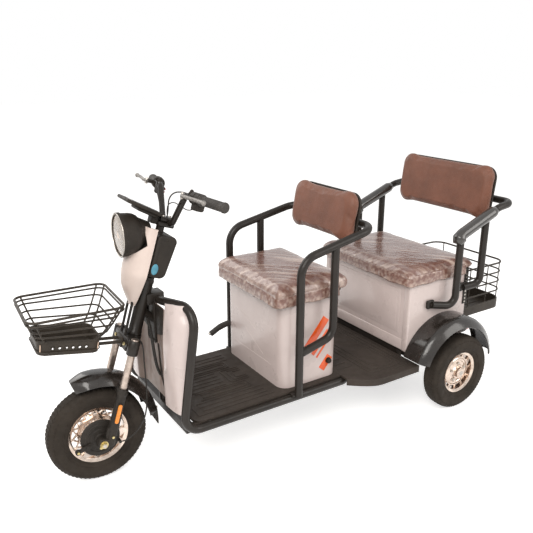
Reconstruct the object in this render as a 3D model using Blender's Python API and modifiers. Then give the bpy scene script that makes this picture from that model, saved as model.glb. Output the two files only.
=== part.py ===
"""Three-wheel electric passenger buggy: driver's seat box, rear bench, two wire baskets.

Metres, +X forward, +Y to the left, +Z up. The origin is on the ground, in the middle of
the vehicle's overall box. Lengths named BEHIND are measured back from the front axle.
"""
import bpy
import bmesh
from math import atan2, cos, pi, radians, sin, tan
from mathutils import Matrix, Vector

# Clearances
SEAM = 0.0003            # between pieces that touch

# Wheels
WHEELBASE = 1.512
STRETCH = WHEELBASE / 1.512   # the seats and the rear keep their share of the wheelbase
FRONT_TYRE_R = 0.183
REAR_TYRE_R = 0.1695
FRONT_TYRE_HALF_WIDTH = 0.040
REAR_TYRE_HALF_WIDTH = 0.041
REAR_WHEEL_Y = 0.366
FRONT_RIM_R = 0.118
REAR_RIM_R = 0.103
RIM_LIP = 0.0045
RIM_LIP_DEPTH = 0.013
RIM_HALF_WIDTH = 0.026
RIM_WALL = 0.006
WEB_HALF_THICKNESS = 0.007
FRONT_WINDOWS = 15
REAR_WINDOWS = 12
WINDOW_SHARE = 0.62       # of the web, along and across
DRUM_R = 0.066
DRUM_REACH = 0.045
BRAKE_PLATE_R = 0.072
HUB_REACH = 0.030
REAR_HUB_R = 0.031
REAR_CAP_REACH = 0.036
AXLE_R = 0.0075

# Steering: everything on the fork is laid out about the steering axis
RAKE = radians(18.0)
STEERING_REST = radians(-4.0)
AXLE_LEAD = 0.051        # front axle ahead of the steering axis
LEG_LEAD = 0.025         # fork legs ahead of the steering axis
LEG_Y = 0.086
STANCHION_R = 0.0135
SLIDER_R = 0.0185
SLIDER_BOTTOM = -0.019
LUG_HALF = 0.0184
LEG_STAND = 0.006        # leg tops above the crown
LEG_BOSS_R = 0.021
SLIDER_TOP = 0.210       # heights along the steering axis, from the front axle
CROWN_BOTTOM = 0.338
CROWN_TOP = 0.392
HEAD_TUBE_TOP = 0.600
HEAD_TUBE_R = 0.024
HEAD_TUBE_BORE_R = 0.0160
STEERER_R = 0.0150
COLLAR_HEIGHT = 0.018
BAR_UP = 0.818           # the handlebar's middle
BAR_CLAMP_HEIGHT = 0.036
BAR_CLAMP_BOTTOM = BAR_UP - BAR_CLAMP_HEIGHT / 2.0
BAR_CLAMP_TOP = BAR_UP + BAR_CLAMP_HEIGHT / 2.0
BAR_CLAMP_HALF = 0.028
CROWN_HALF = 0.020
STAY_LEAD = 0.047
STAY_Y = 0.022
STAY_R = 0.005

# Handlebar
BAR_R = 0.011
BAR_AHEAD = -0.022
BAR_SHOULDER_Y = 0.125
BAR_SHOULDER_AHEAD = -0.012
BAR_SHOULDER_UP = BAR_UP + 0.116
GRIP_R = 0.0165
GRIP_INNER_Y = 0.218
GRIP_OUTER_Y = 0.345
GRIP_END_WALL = 0.004
GRIP_AHEAD = -0.060
GRIP_UP = BAR_UP + 0.120
POD_INNER_Y = 0.166
POD_R = 0.021
LEVER_LEAD = 0.052
LEVER_R = 0.0052
PANEL_LENGTH = 0.140
PANEL_HALF_WIDTH = 0.060
PANEL_THICKNESS = 0.014
PANEL_PITCH = radians(11.0)

# Frame tubes
TUBE_R = 0.016
SIDE_TUBE_Y = 0.248
SIDE_TUBE_Z = 0.224
SHOULDER_BEND_R = 0.070
FOOT_BEND_R = 0.060
LEG_FOOT_BEHIND = 0.2365
SHOULDER_BEHIND = 0.302
SHOULDER_Z = 0.690
ARCH_BEHIND = 0.262
ARCH_Z = 0.664
ARCH_INNER_Y = 0.030
SIDE_TUBE_END_BEHIND = 0.985 * STRETCH

# Floors
FLOOR_Z = 0.249
FLOOR_THICKNESS = 0.0087
TREAD_RISE = 0.0015       # the pressed panel under the driver's feet
TREAD_MARGIN = 0.030
FLOOR_FRONT_BEHIND = 0.288
FLOOR_FRONT_HALF_WIDTH = 0.240
FLOOR_SPLIT_BEHIND = 0.958 * STRETCH
FLOOR_FLARE_BEHIND = 1.090 * STRETCH
FLOOR_NECK_HALF_WIDTH = 0.283
FLOOR_REAR_BEHIND = 1.293 * STRETCH
FLOOR_REAR_HALF_WIDTH = 0.357
FLOOR_REAR_DEPTH = 0.030
PAN_WALL = 0.004

# Driver's seat
DRIVER_BOX_FRONT_BEHIND = 0.679 * STRETCH
DRIVER_BOX_REAR_BEHIND = 0.9565 * STRETCH
DRIVER_BOX_HALF_WIDTH = 0.217
DRIVER_BOX_TOP = 0.617
DRIVER_BOX_CORNER = 0.045
BOX_WALL = 0.005
LID_THICKNESS = 0.012
DRIVER_CUSHION_FRONT_BEHIND = 0.645 * STRETCH
DRIVER_CUSHION_REAR_BEHIND = 0.985 * STRETCH
DRIVER_CUSHION_HALF_WIDTH = 0.238
DRIVER_CUSHION_THICKNESS = 0.062
DRIVER_POST_FOOT_Z = 0.228
LID_OVERHANG = 0.007
BATTERY_LENGTH = 0.180
BATTERY_WIDTH = 0.340
BATTERY_HEIGHT = 0.170
LEVER_BAR_R = 0.010
LEVER_FOOT_BEHIND = 0.850 * STRETCH
LEVER_KNEE_BEHIND = 0.710 * STRETCH
LEVER_TIP_BEHIND = 0.600 * STRETCH
LEVER_ELBOW_UP = 0.096    # heights over the floor
LEVER_KNEE_UP = 0.123
LEVER_TIP_UP = 0.094
DRIVER_RAIL_Y = 0.266
DRIVER_POST_BEHIND = 0.725 * STRETCH
DRIVER_REAR_POST_BEHIND = 0.886 * STRETCH
DRIVER_RAIL_CORNER_BEHIND = 1.078 * STRETCH
DRIVER_RAIL_CORNER_Z = 0.866
DRIVER_BEND_Z = 0.790
DRIVER_REAR_POST_BEND_Z = 0.455
DRIVER_REAR_POST_JOIN_Z = 0.416
DRIVER_BACK_FACE_BEHIND = DRIVER_RAIL_CORNER_BEHIND - 0.074
DRIVER_BACK_Z = DRIVER_RAIL_CORNER_Z + 0.034
DRIVER_BACK_HALF_WIDTH = 0.192
DRIVER_BACK_HEIGHT = 0.196
DRIVER_BACK_LEAN = radians(10.0)
BACK_PAD_THICKNESS = 0.048
BACK_SHELL_THICKNESS = 0.010

# Bench
BENCH_FRONT_BEHIND = 1.279 * STRETCH
BENCH_REAR_BEHIND = 1.634 * STRETCH
BENCH_HALF_WIDTH = 0.287
BENCH_BOTTOM = 0.279
BENCH_TOP = 0.597
BENCH_WALL = 0.009
PILLAR_WIDTH = 0.036
PANEL_RECESS = 0.004
TOE_BAND_TOP = 0.335
BENCH_CUSHION_FRONT_BEHIND = 1.258 * STRETCH
BENCH_CUSHION_REAR_BEHIND = 1.655 * STRETCH
BENCH_CUSHION_HALF_WIDTH = BENCH_HALF_WIDTH + 0.0095
BENCH_CUSHION_THICKNESS = 0.046
ARM_Y = BENCH_HALF_WIDTH + 0.039
ARM_POST_BEHIND = 1.516 * STRETCH
ARM_REAR_POST_BEHIND = 1.666 * STRETCH
ARM_FOOT_BEHIND = 1.394 * STRETCH
ARM_FOOT_Z = 0.487
ARM_BEND_Z = 0.464
ARM_TOP_Z = 0.780
ARM_REAR_Z = 0.876
ARM_REAR_BEHIND = 1.745 * STRETCH
ARM_REAR_FOOT_BEHIND = 1.588 * STRETCH
ARM_REAR_FOOT_Z = 0.530
BENCH_RAIL_BEHIND = 1.835 * STRETCH
BENCH_RAIL_Z = 0.886
BENCH_BACK_FACE_BEHIND = BENCH_RAIL_BEHIND - 0.111
BENCH_BACK_Z = BENCH_RAIL_Z + 0.044
BENCH_BACK_HALF_WIDTH = 0.254
BENCH_BACK_HEIGHT = 0.228
BENCH_BACK_LEAN = radians(7.0)
ARM_BENDS = (0.042, 0.030, 0.120, 0.045)
PAD_R = 0.0235

# Rear fenders
FENDER_CENTRE_BEHIND = WHEELBASE - 0.022
FENDER_CENTRE_Z = 0.190
FENDER_R = 0.235
FENDER_OUTER_Y = BENCH_HALF_WIDTH + 0.117
FENDER_LIP = 0.020
FENDER_START = radians(20.0)
FENDER_END = radians(172.0)

# Under the floor and rear axle
RAIL_SECTION = 0.030
RAIL_TOP = FLOOR_Z - FLOOR_THICKNESS - SEAM
FRONT_RAIL_HEIGHT = 0.031
HANGER_DROP = 0.008
DOWN_TUBE_BEHIND = 0.270
DOWN_TUBE_UP = 0.470
FRONT_RAIL_Y = 0.130
REAR_RAIL_Y = 0.200
REAR_RAIL_END_BEHIND = 1.740 * STRETCH
REAR_AXLE_R = 0.025
REAR_AXLE_HALF_LENGTH = 0.292
GEAR_HALF_WIDTH = 0.045
GEAR_HOUSING_BACK = 0.140  # lengths from the axle's middle
GEAR_HOUSING_FRONT = 0.055
GEAR_HOUSING_DOWN = 0.0575
GEAR_HOUSING_UP = 0.0685
MOTOR_RISE = 0.0055
MOTOR_R = 0.058
MOTOR_LENGTH = 0.120
SPRING_WIDTH = 0.045
SPRING_THICKNESS = 0.014
SPRING_HALF_LENGTH = 0.165 * STRETCH

# Baskets
WIRE_R = 0.0027
RIM_WIRE_R = 0.0040
FRONT_BASKET_RIM_Z = 0.702
FRONT_BASKET_FRONT_AHEAD = 0.210
FRONT_BASKET_BACK_BEHIND = 0.108
FRONT_BASKET_HALF_WIDTH = 0.146
FRONT_TRAY_FRONT_AHEAD = 0.178
FRONT_TRAY_BACK_BEHIND = 0.030
FRONT_TRAY_HALF_WIDTH = 0.082
FRONT_TRAY_FRONT_Z = 0.608
FRONT_TRAY_BACK_Z = 0.575
FRONT_TRAY_DEPTH = 0.046
REAR_BASKET_REAR_BEHIND = 1.990 * STRETCH
REAR_BASKET_HALF_WIDTH = 0.214
REAR_BASKET_RIM_Z = 0.556
REAR_BASKET_TRAY_Z = 0.337
REAR_BASKET_RINGS = 4
TRAY_WALL = 0.004
REAR_TRAY_DEPTH = 0.012
TRAY_HOLES = 6
TRAY_HOLE_PITCH = 0.026
TRAY_HOLE_R = 0.005
FRONT_RING_SHARES = (0.22, 0.42, 0.62, 0.82)
BASKET_UPRIGHTS = (0, 2, 3, 5, 6, 8, 9, 11)
BRACKET_UP = 0.362
BRACKET_ARM_R = 0.006
BRACKET_PLATE = 0.006
TAIL_LAMP_R = 0.036
TAIL_LAMP_Y = 0.178
TAIL_LAMP_LENGTH = 0.056

# Front end
SHIELD_BOTTOM = 0.287
SHIELD_TOP = 0.652
SHIELD_INNER_Y = 0.128
SHIELD_BULGE = 0.058
SHIELD_FLAT_Y = 0.092
SHIELD_RECESS_BEHIND = 0.246
SHIELD_SLOT_Z = 0.500    # foot of the notch round the head tube's gusset
SHEET = 0.003
LAMP_R = 0.079
LAMP_BACK_R = 0.066
LAMP_BEZEL = 0.005
LENS_DEPTH = 0.008
LAMP_BRACKET_BOTTOM = 0.700
COVER_FRONT = 0.030
COVER_BACK = -0.058
COVER_HALF = 0.070
COVER_BOTTOM = 0.6205
COVER_TOP = 0.776
SHROUD_BOTTOM = 0.502
SHROUD_TOP = 0.775
SHROUD_TIP_HALF = 0.034
SHROUD_BULGE = 0.070
SHROUD_SEAM = 0.0009     # its leaning rear edge stays clear of the cover
LAMP_DEPTH = 0.078
LAMP_Z = 0.913
LAMP_FACE_BEHIND = 0.140
FRONT_FENDER_R = 0.228
FRONT_FENDER_HALF_WIDTH = 0.058
FRONT_FENDER_RISE = 0.012
FRONT_FENDER_CROWN = 0.030
FLAP_LENGTH = 0.060
FRONT_FENDER_START = radians(70.0)
FRONT_FENDER_END = radians(172.0)

# The overall box is centred on the origin, so the front axle's place follows from its ends
BASKET_SWING = 0.0065    # the front basket's left corner leads its middle at the rest angle
BASKET_REACH = FRONT_BASKET_FRONT_AHEAD + RIM_WIRE_R + BASKET_SWING
TAIL_REACH = REAR_BASKET_REAR_BEHIND + RIM_WIRE_R
FRONT_AXLE_X = (TAIL_REACH - BASKET_REACH) / 2.0

STEP_COUNT = 28          # sides of a turned piece, a multiple of four
BEND_STEPS = 4           # points along a tube's bend

SIDES = (("left", 1), ("right", -1))

PAINTS = {
    "black_paint": ((0.030, 0.028, 0.027), 0.35, 0.0),
    "floor_black": ((0.045, 0.040, 0.036), 0.70, 0.0),
    "white_plastic": ((0.70, 0.63, 0.58), 0.45, 0.0),
    "brown_leather": ((0.17, 0.070, 0.040), 0.60, 0.0),
    "black_plastic": ((0.035, 0.032, 0.030), 0.55, 0.0),
    "rubber": ((0.028, 0.025, 0.022), 0.85, 0.0),
    "chrome": ((0.75, 0.70, 0.66), 0.15, 1.0),
    "lens": ((0.80, 0.78, 0.74), 0.10, 0.0),
    "red_lens": ((0.50, 0.02, 0.02), 0.20, 0.0),
    "steel": ((0.45, 0.42, 0.40), 0.40, 1.0),
}


def behind(distance):
    """World X of a place measured back from the front axle."""
    return FRONT_AXLE_X - distance


def clear_scene():
    for obj in list(bpy.data.objects):
        bpy.data.objects.remove(obj, do_unlink=True)


def new_collection(name):
    collection = bpy.data.collections.new(name)
    bpy.context.scene.collection.children.link(collection)
    return collection


clear_scene()
BUGGY = new_collection("three_wheel_buggy")
CUTTERS = new_collection("cutters")


def paint(name):
    """A Principled material of the palette."""
    if name in bpy.data.materials:
        return bpy.data.materials[name]
    colour, roughness, metallic = PAINTS[name]
    material = bpy.data.materials.new(name)
    material.use_nodes = True
    shader = material.node_tree.nodes["Principled BSDF"]
    shader.inputs["Base Color"].default_value = (*colour, 1.0)
    shader.inputs["Roughness"].default_value = roughness
    shader.inputs["Metallic"].default_value = metallic
    return material


def add(name, bm, material, smooth=True):
    """Puts a bmesh in the scene as a named part."""
    mesh = bpy.data.meshes.new(name)
    bmesh.ops.recalc_face_normals(bm, faces=bm.faces)
    bm.to_mesh(mesh)
    bm.free()
    mesh.materials.append(paint(material))
    if smooth:
        mesh.shade_smooth()
        mesh.set_sharp_from_angle(angle=radians(35.0))
    obj = bpy.data.objects.new(name, mesh)
    BUGGY.objects.link(obj)
    return obj


def as_tool(obj):
    """Moves an object to the cutters, so that it only shapes another."""
    BUGGY.objects.unlink(obj)
    CUTTERS.objects.link(obj)
    obj.hide_render = True
    obj.display_type = "WIRE"
    return obj


def combine(target, tools, operation):
    for tool in tools:
        modifier = target.modifiers.new(operation.lower() + "_" + tool.name, "BOOLEAN")
        modifier.operation = operation
        modifier.solver = "EXACT"
        modifier.object = as_tool(tool)
    return target


def join(target, tools):
    return combine(target, tools, "UNION")


def cut(target, tools):
    return combine(target, tools, "DIFFERENCE")


def box_bm(low, high, rounding=0.0, along=None, segments=3):
    """A box between two corners; edges along one axis, or all of them, can be rounded."""
    low, high = Vector(low), Vector(high)
    bm = bmesh.new()
    bmesh.ops.create_cube(bm, size=1.0)
    size = high - low
    bmesh.ops.scale(bm, vec=size, verts=bm.verts)
    bmesh.ops.translate(bm, vec=(low + high) / 2.0, verts=bm.verts)
    if rounding > 0.0:
        edges = list(bm.edges)
        if along is not None:
            edges = [e for e in edges if abs((e.verts[0].co - e.verts[1].co)[along]) > 1e-6]
        bmesh.ops.bevel(bm, geom=edges, offset=rounding, segments=segments, profile=0.5,
                        affect="EDGES")
    return bm


def box(name, low, high, material, rounding=0.0, along=None, segments=3):
    return add(name, box_bm(low, high, rounding, along, segments), material)


def cylinder(name, start, end, radius, material, sides=16, end_radius=None):
    """A solid cylinder or cone between two points."""
    start, end = Vector(start), Vector(end)
    bm = bmesh.new()
    length = (end - start).length
    bmesh.ops.create_cone(bm, cap_ends=True, segments=sides, radius1=radius,
                          radius2=radius if end_radius is None else end_radius, depth=length)
    turn = Vector((0.0, 0.0, 1.0)).rotation_difference(end - start).to_matrix().to_4x4()
    bmesh.ops.transform(bm, matrix=Matrix.Translation((start + end) / 2.0) @ turn,
                        verts=bm.verts)
    return add(name, bm, material)


def bent(points, radii, steps=BEND_STEPS):
    """The points of a bent tube: each inner corner becomes an arc of its own radius."""
    points = [Vector(p) for p in points]
    path = [points[0]]
    for before, corner, after, radius in zip(points, points[1:], points[2:], radii):
        to_before = (before - corner).normalized()
        to_after = (after - corner).normalized()
        half_turn = to_before.angle(to_after) / 2.0
        reach = radius / tan(half_turn)
        centre = corner + (to_before + to_after).normalized() * (radius / sin(half_turn))
        first = corner + to_before * reach - centre
        last = corner + to_after * reach - centre
        sweep = first.angle(last)
        for i in range(steps + 1):
            share = i / steps
            path.append(centre + (first * sin((1.0 - share) * sweep)
                                  + last * sin(share * sweep)) / sin(sweep))
    path.append(points[-1])
    return path


def tube(name, points, radius, material, resolution=2, cyclic=False):
    """A tube along points, as a closed mesh."""
    curve = bpy.data.curves.new(name, "CURVE")
    curve.dimensions = "3D"
    curve.bevel_depth = radius
    curve.bevel_resolution = resolution
    curve.use_fill_caps = not cyclic
    spline = curve.splines.new("POLY")
    spline.points.add(len(points) - 1)
    spline.use_cyclic_u = cyclic
    for spot, place in zip(spline.points, points):
        spot.co = (*place, 1.0)
    holder = bpy.data.objects.new(name + "_curve", curve)
    BUGGY.objects.link(holder)
    bpy.context.view_layer.update()
    evaluated = holder.evaluated_get(bpy.context.evaluated_depsgraph_get())
    mesh = bpy.data.meshes.new_from_object(evaluated)
    bpy.data.objects.remove(holder, do_unlink=True)
    bm = bmesh.new()
    bm.from_mesh(mesh)
    bpy.data.meshes.remove(mesh)
    bmesh.ops.remove_doubles(bm, verts=bm.verts, dist=0.00001)
    return add(name, bm, material)


def turned(name, profile, material, centre, steps=STEP_COUNT, angle=2.0 * pi, start=0.0):
    """A ring turned about a wheel's axle (along Y): profile holds (radius, offset along Y)
    pairs, from the left of the outer side to its right and back along the inner side."""
    mesh = bpy.data.meshes.new(name)
    count = len(profile)
    closed = [(i, (i + 1) % count) for i in range(count)]
    mesh.from_pydata([(radius, 0.0, offset) for radius, offset in profile], closed, [])
    mesh.materials.append(paint(material))
    obj = bpy.data.objects.new(name, mesh)
    BUGGY.objects.link(obj)
    screw = obj.modifiers.new("turn", "SCREW")
    screw.angle = angle
    screw.steps = steps
    screw.render_steps = steps
    screw.axis = "Z"
    screw.use_merge_vertices = True
    screw.merge_threshold = 0.0001
    screw.use_smooth_shade = True
    stand = Matrix.Rotation(-pi / 2.0, 4, "X")
    obj.matrix_world = Matrix.Translation(centre) @ stand
    return obj


def outline_slab(name, outline, z_top, thickness, material):
    """A flat piece of one thickness from its outline seen from above."""
    curve = bpy.data.curves.new(name, "CURVE")
    curve.dimensions = "2D"
    curve.fill_mode = "BOTH"
    curve.extrude = thickness / 2.0
    spline = curve.splines.new("POLY")
    spline.points.add(len(outline) - 1)
    spline.use_cyclic_u = True
    for spot, place in zip(spline.points, outline):
        spot.co = (place[0], place[1], 0.0, 1.0)
    holder = bpy.data.objects.new(name + "_curve", curve)
    BUGGY.objects.link(holder)
    bpy.context.view_layer.update()
    evaluated = holder.evaluated_get(bpy.context.evaluated_depsgraph_get())
    mesh = bpy.data.meshes.new_from_object(evaluated)
    bpy.data.objects.remove(holder, do_unlink=True)
    bm = bmesh.new()
    bm.from_mesh(mesh)
    bpy.data.meshes.remove(mesh)
    bmesh.ops.remove_doubles(bm, verts=bm.verts, dist=0.00001)
    bmesh.ops.translate(bm, vec=(0.0, 0.0, z_top - thickness / 2.0), verts=bm.verts)
    return add(name, bm, material)


def rounded_loop(half_length, half_width, corner, centre, steps=2):
    """Points of a level rounded rectangle about a centre, counter-clockwise."""
    points = []
    for quarter, (sx, sy) in enumerate(((1, 1), (-1, 1), (-1, -1), (1, -1))):
        for i in range(steps + 1):
            turn = (quarter + i / steps) * pi / 2.0
            points.append(Vector((centre[0] + sx * (half_length - corner) + corner * cos(turn),
                                  centre[1] + sy * (half_width - corner) + corner * sin(turn),
                                  centre[2])))
    return points


def sheet(name, columns, rows, place, thickness, material, outwards):
    """A bent sheet: place(u, v) gives each point, u and v from 0 to 1."""
    bm = bmesh.new()
    bmesh.ops.create_grid(bm, x_segments=columns, y_segments=rows, size=0.5)
    for vert in bm.verts:
        vert.co = place(vert.co.x + 0.5, vert.co.y + 0.5)
    mesh = bpy.data.meshes.new(name)
    bm.to_mesh(mesh)
    bm.free()
    mesh.materials.append(paint(material))
    mesh.shade_smooth()
    mesh.set_sharp_from_angle(angle=radians(35.0))
    obj = bpy.data.objects.new(name, mesh)
    BUGGY.objects.link(obj)
    solidify = obj.modifiers.new("thickness", "SOLIDIFY")
    solidify.thickness = thickness
    solidify.offset = outwards
    solidify.use_even_offset = True
    return obj


def attach(obj, parent):
    """Parents an object where it stands, with the tools that shape it."""
    obj.parent = parent
    obj.matrix_parent_inverse = parent.matrix_world.inverted()
    for modifier in obj.modifiers:
        if modifier.type == "BOOLEAN":
            attach(modifier.object, parent)
    return obj


def pivot(name, matrix, parent=None):
    """An empty on a joint's axis."""
    empty = bpy.data.objects.new(name, None)
    empty.empty_display_size = 0.05
    BUGGY.objects.link(empty)
    empty.matrix_world = matrix
    bpy.context.view_layer.update()
    if parent is not None:
        attach(empty, parent)
        bpy.context.view_layer.update()
    return empty


# Steering axis: a frame whose Z runs up the axis and whose origin is level with the axle
AXIS_UP = Vector((-sin(RAKE), 0.0, cos(RAKE)))
AXIS_AHEAD = Vector((cos(RAKE), 0.0, sin(RAKE)))
FRONT_AXLE = Vector((FRONT_AXLE_X, 0.0, FRONT_TYRE_R))
AXIS_FOOT = FRONT_AXLE - AXIS_AHEAD * AXLE_LEAD


def fork(ahead, side, up):
    """World place of a point given along the fork: ahead of the axis, left, up the axis."""
    return AXIS_FOOT + AXIS_AHEAD * ahead + Vector((0.0, side, 0.0)) + AXIS_UP * up


def fork_matrix(ahead=0.0, side=0.0, up=0.0):
    turn = Matrix((
        (AXIS_AHEAD.x, 0.0, AXIS_UP.x),
        (0.0, 1.0, 0.0),
        (AXIS_AHEAD.z, 0.0, AXIS_UP.z),
    )).to_4x4()
    return Matrix.Translation(fork(ahead, side, up)) @ turn


def on_fork(obj):
    """Turns a piece laid out along the fork's own axes into its place."""
    obj.matrix_world = fork_matrix() @ obj.matrix_world
    return obj


# Wheels
def tyre(name, centre, outer, bead, half_width):
    """Tyre section: tread crown, shoulders, side walls, beads."""
    shoulder = outer - 0.006
    wall = bead + 0.55 * (outer - bead)
    flank = bead + RIM_LIP_DEPTH + 0.003
    profile = [
        (outer, half_width * 0.35), (outer, -half_width * 0.35),
        (shoulder, -half_width * 0.72), (shoulder - 0.012, -half_width * 0.93),
        (wall, -half_width), (flank, -half_width * 0.88),
        (flank - 0.003, -RIM_HALF_WIDTH), (bead, -RIM_HALF_WIDTH),
        (bead, RIM_HALF_WIDTH), (flank - 0.003, RIM_HALF_WIDTH),
        (flank, half_width * 0.88), (wall, half_width),
        (shoulder - 0.012, half_width * 0.93), (shoulder, half_width * 0.72),
    ]
    return turned(name, profile, "rubber", centre)


def rim(name, centre, outer, windows, hub_r, hub_left, hub_right):
    """Cast rim: barrel with lips, a web with windows, and a bored hub."""
    seat = outer - RIM_LIP_DEPTH - SEAM
    lip_inner = RIM_HALF_WIDTH + SEAM
    lip_outer = lip_inner + RIM_LIP
    inner = seat - RIM_WALL
    bore = AXLE_R + SEAM
    profile = [
        (outer, lip_outer), (outer, lip_inner), (seat, lip_inner),
        (seat, -lip_inner), (outer, -lip_inner), (outer, -lip_outer),
        (inner, -lip_outer), (inner - 0.002, -WEB_HALF_THICKNESS),
        (hub_r, -WEB_HALF_THICKNESS), (hub_r, -hub_right), (bore, -hub_right),
        (bore, hub_left), (hub_r, hub_left), (hub_r, WEB_HALF_THICKNESS),
        (inner - 0.002, WEB_HALF_THICKNESS), (inner, lip_outer),
    ]
    body = turned(name, profile, "chrome", centre)
    depth = WEB_HALF_THICKNESS * 2.0
    middle = (inner + hub_r) / 2.0
    length = (inner - hub_r) * WINDOW_SHARE
    width = 2.0 * pi * middle / windows * WINDOW_SHARE
    tools = []
    for i in range(windows):
        bm = box_bm((middle - length / 2.0, -depth, -width / 2.0),
                    (middle + length / 2.0, depth, width / 2.0))
        turn = Matrix.Rotation(2.0 * pi * (i + 0.5) / windows, 4, "Y")
        bmesh.ops.transform(bm, matrix=Matrix.Translation(centre) @ turn, verts=bm.verts)
        tools.append(add("%s_window_%d" % (name, i), bm, "chrome"))
    return cut(body, tools)


def front_wheel(steering):
    hub = pivot("front_wheel_axle", Matrix.Translation(FRONT_AXLE), steering)
    attach(tyre("front_tyre", FRONT_AXLE, FRONT_TYRE_R, FRONT_RIM_R - RIM_LIP_DEPTH,
                FRONT_TYRE_HALF_WIDTH), hub)
    attach(rim("front_rim", FRONT_AXLE, FRONT_RIM_R, FRONT_WINDOWS, DRUM_R,
               DRUM_REACH, HUB_REACH), hub)


def rear_wheels():
    inner_reach = REAR_WHEEL_Y - REAR_AXLE_HALF_LENGTH - SEAM
    for side, sign in SIDES:
        centre = Vector((behind(WHEELBASE), sign * REAR_WHEEL_Y, REAR_TYRE_R))
        hub = pivot("rear_%s_wheel_axle" % side, Matrix.Translation(centre))
        reaches = (REAR_CAP_REACH, inner_reach) if sign > 0 else (inner_reach, REAR_CAP_REACH)
        attach(tyre("rear_%s_tyre" % side, centre, REAR_TYRE_R, REAR_RIM_R - RIM_LIP_DEPTH,
                    REAR_TYRE_HALF_WIDTH), hub)
        attach(rim("rear_%s_rim" % side, centre, REAR_RIM_R, REAR_WINDOWS, REAR_HUB_R,
                   *reaches), hub)


# Steered pieces
def fork_legs(steering):
    for side, sign in SIDES:
        y = sign * LEG_Y
        slider = cylinder("fork_leg_" + side, fork(LEG_LEAD, y, SLIDER_BOTTOM + 0.005),
                          fork(LEG_LEAD, y, SLIDER_TOP), SLIDER_R, "black_paint")
        stanchion = cylinder("stanchion_" + side, fork(LEG_LEAD, y, SLIDER_TOP - 0.01),
                             fork(LEG_LEAD, y, CROWN_TOP + LEG_STAND), STANCHION_R, "chrome")
        lug = on_fork(box("axle_lug_" + side, (LEG_LEAD, y - LUG_HALF, SLIDER_BOTTOM),
                          (AXLE_LEAD - SLIDER_BOTTOM, y + LUG_HALF, -SLIDER_BOTTOM),
                          "black_paint", 0.008, 1, 2))
        hole = cylinder("lug_hole_" + side, fork(AXLE_LEAD, y - 0.03, 0.0),
                        fork(AXLE_LEAD, y + 0.03, 0.0), AXLE_R + SEAM, "black_paint")
        attach(cut(join(slider, [stanchion, lug]), [hole]), steering)


def front_axle(steering):
    """Axle with its nuts, spacers, and the drum's brake plate on the left."""
    left_lug = LEG_Y - LUG_HALF - SEAM
    nut_start = LEG_Y + LUG_HALF + SEAM
    shaft = cylinder("front_axle", fork(AXLE_LEAD, -nut_start - 0.012, 0.0),
                     fork(AXLE_LEAD, nut_start + 0.012, 0.0), AXLE_R, "steel")
    parts = [
        cylinder("brake_plate", fork(AXLE_LEAD, DRUM_REACH + SEAM, 0.0),
                 fork(AXLE_LEAD, DRUM_REACH + 0.014, 0.0), BRAKE_PLATE_R, "black_paint", 32),
        cylinder("left_spacer", fork(AXLE_LEAD, DRUM_REACH + 0.006, 0.0),
                 fork(AXLE_LEAD, left_lug, 0.0), 0.0195, "black_paint", 12),
        cylinder("right_spacer", fork(AXLE_LEAD, -HUB_REACH - SEAM, 0.0),
                 fork(AXLE_LEAD, -left_lug, 0.0), 0.013, "steel"),
    ]
    for side, sign in SIDES:
        parts.append(cylinder("axle_nut_" + side, fork(AXLE_LEAD, sign * nut_start, 0.0),
                              fork(AXLE_LEAD, sign * (nut_start + 0.009), 0.0), 0.0115,
                              "steel", 6))
    arm = on_fork(box("brake_arm", (AXLE_LEAD + 0.030, DRUM_REACH + 0.0085, -0.075),
                      (AXLE_LEAD + 0.046, DRUM_REACH + 0.018, -0.030), "steel"))
    attach(join(shaft, parts + [arm]), steering)


def fork_crown(steering):
    """Crown that clamps both legs, its steerer up to the bar clamp, and the basket stays."""
    arm_y = LEG_Y - (STANCHION_R + LEG_BOSS_R) / 2.0
    crown = on_fork(box("fork_crown", (LEG_LEAD - CROWN_HALF, -arm_y, CROWN_BOTTOM + 0.002),
                        (LEG_LEAD + CROWN_HALF, arm_y, CROWN_TOP - 0.002), "black_paint"))
    parts = [
        cylinder("crown_boss", fork(0.0, 0.0, CROWN_BOTTOM + 0.001), fork(0.0, 0.0, CROWN_TOP),
                 HEAD_TUBE_R + 0.004, "black_paint"),
        cylinder("steerer", fork(0.0, 0.0, CROWN_TOP - 0.01), fork(0.0, 0.0, BAR_CLAMP_TOP - 0.002),
                 STEERER_R, "black_paint"),
        cylinder("stem_collar", fork(0.0, 0.0, HEAD_TUBE_TOP + SEAM),
                 fork(0.0, 0.0, HEAD_TUBE_TOP + COLLAR_HEIGHT), HEAD_TUBE_R, "black_paint"),
        on_fork(box("bar_clamp", (-0.042, -BAR_CLAMP_HALF, BAR_CLAMP_BOTTOM),
                    (0.020, BAR_CLAMP_HALF, BAR_CLAMP_TOP), "black_paint")),
    ]
    holes = [cylinder("bar_hole", fork(BAR_AHEAD, -0.05, BAR_UP), fork(BAR_AHEAD, 0.05, BAR_UP),
                      BAR_R + SEAM, "black_paint")]
    for side, sign in SIDES:
        leg = sign * LEG_Y
        parts.append(cylinder("leg_boss_" + side, fork(LEG_LEAD, leg, CROWN_BOTTOM),
                              fork(LEG_LEAD, leg, CROWN_TOP), LEG_BOSS_R, "black_paint"))
        holes.append(cylinder("leg_hole_" + side, fork(LEG_LEAD, leg, CROWN_BOTTOM - 0.02),
                              fork(LEG_LEAD, leg, CROWN_TOP + 0.02), STANCHION_R + SEAM,
                              "black_paint"))
    for side, sign in SIDES:
        parts.append(cylinder("basket_stay_" + side,
                              fork(STAY_LEAD - 0.006, sign * STAY_Y, CROWN_TOP - 0.01),
                              fork(STAY_LEAD, sign * STAY_Y, LAMP_BRACKET_BOTTOM - SEAM),
                              STAY_R, "black_paint", 12))
    attach(cut(join(crown, parts), holes), steering)


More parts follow.
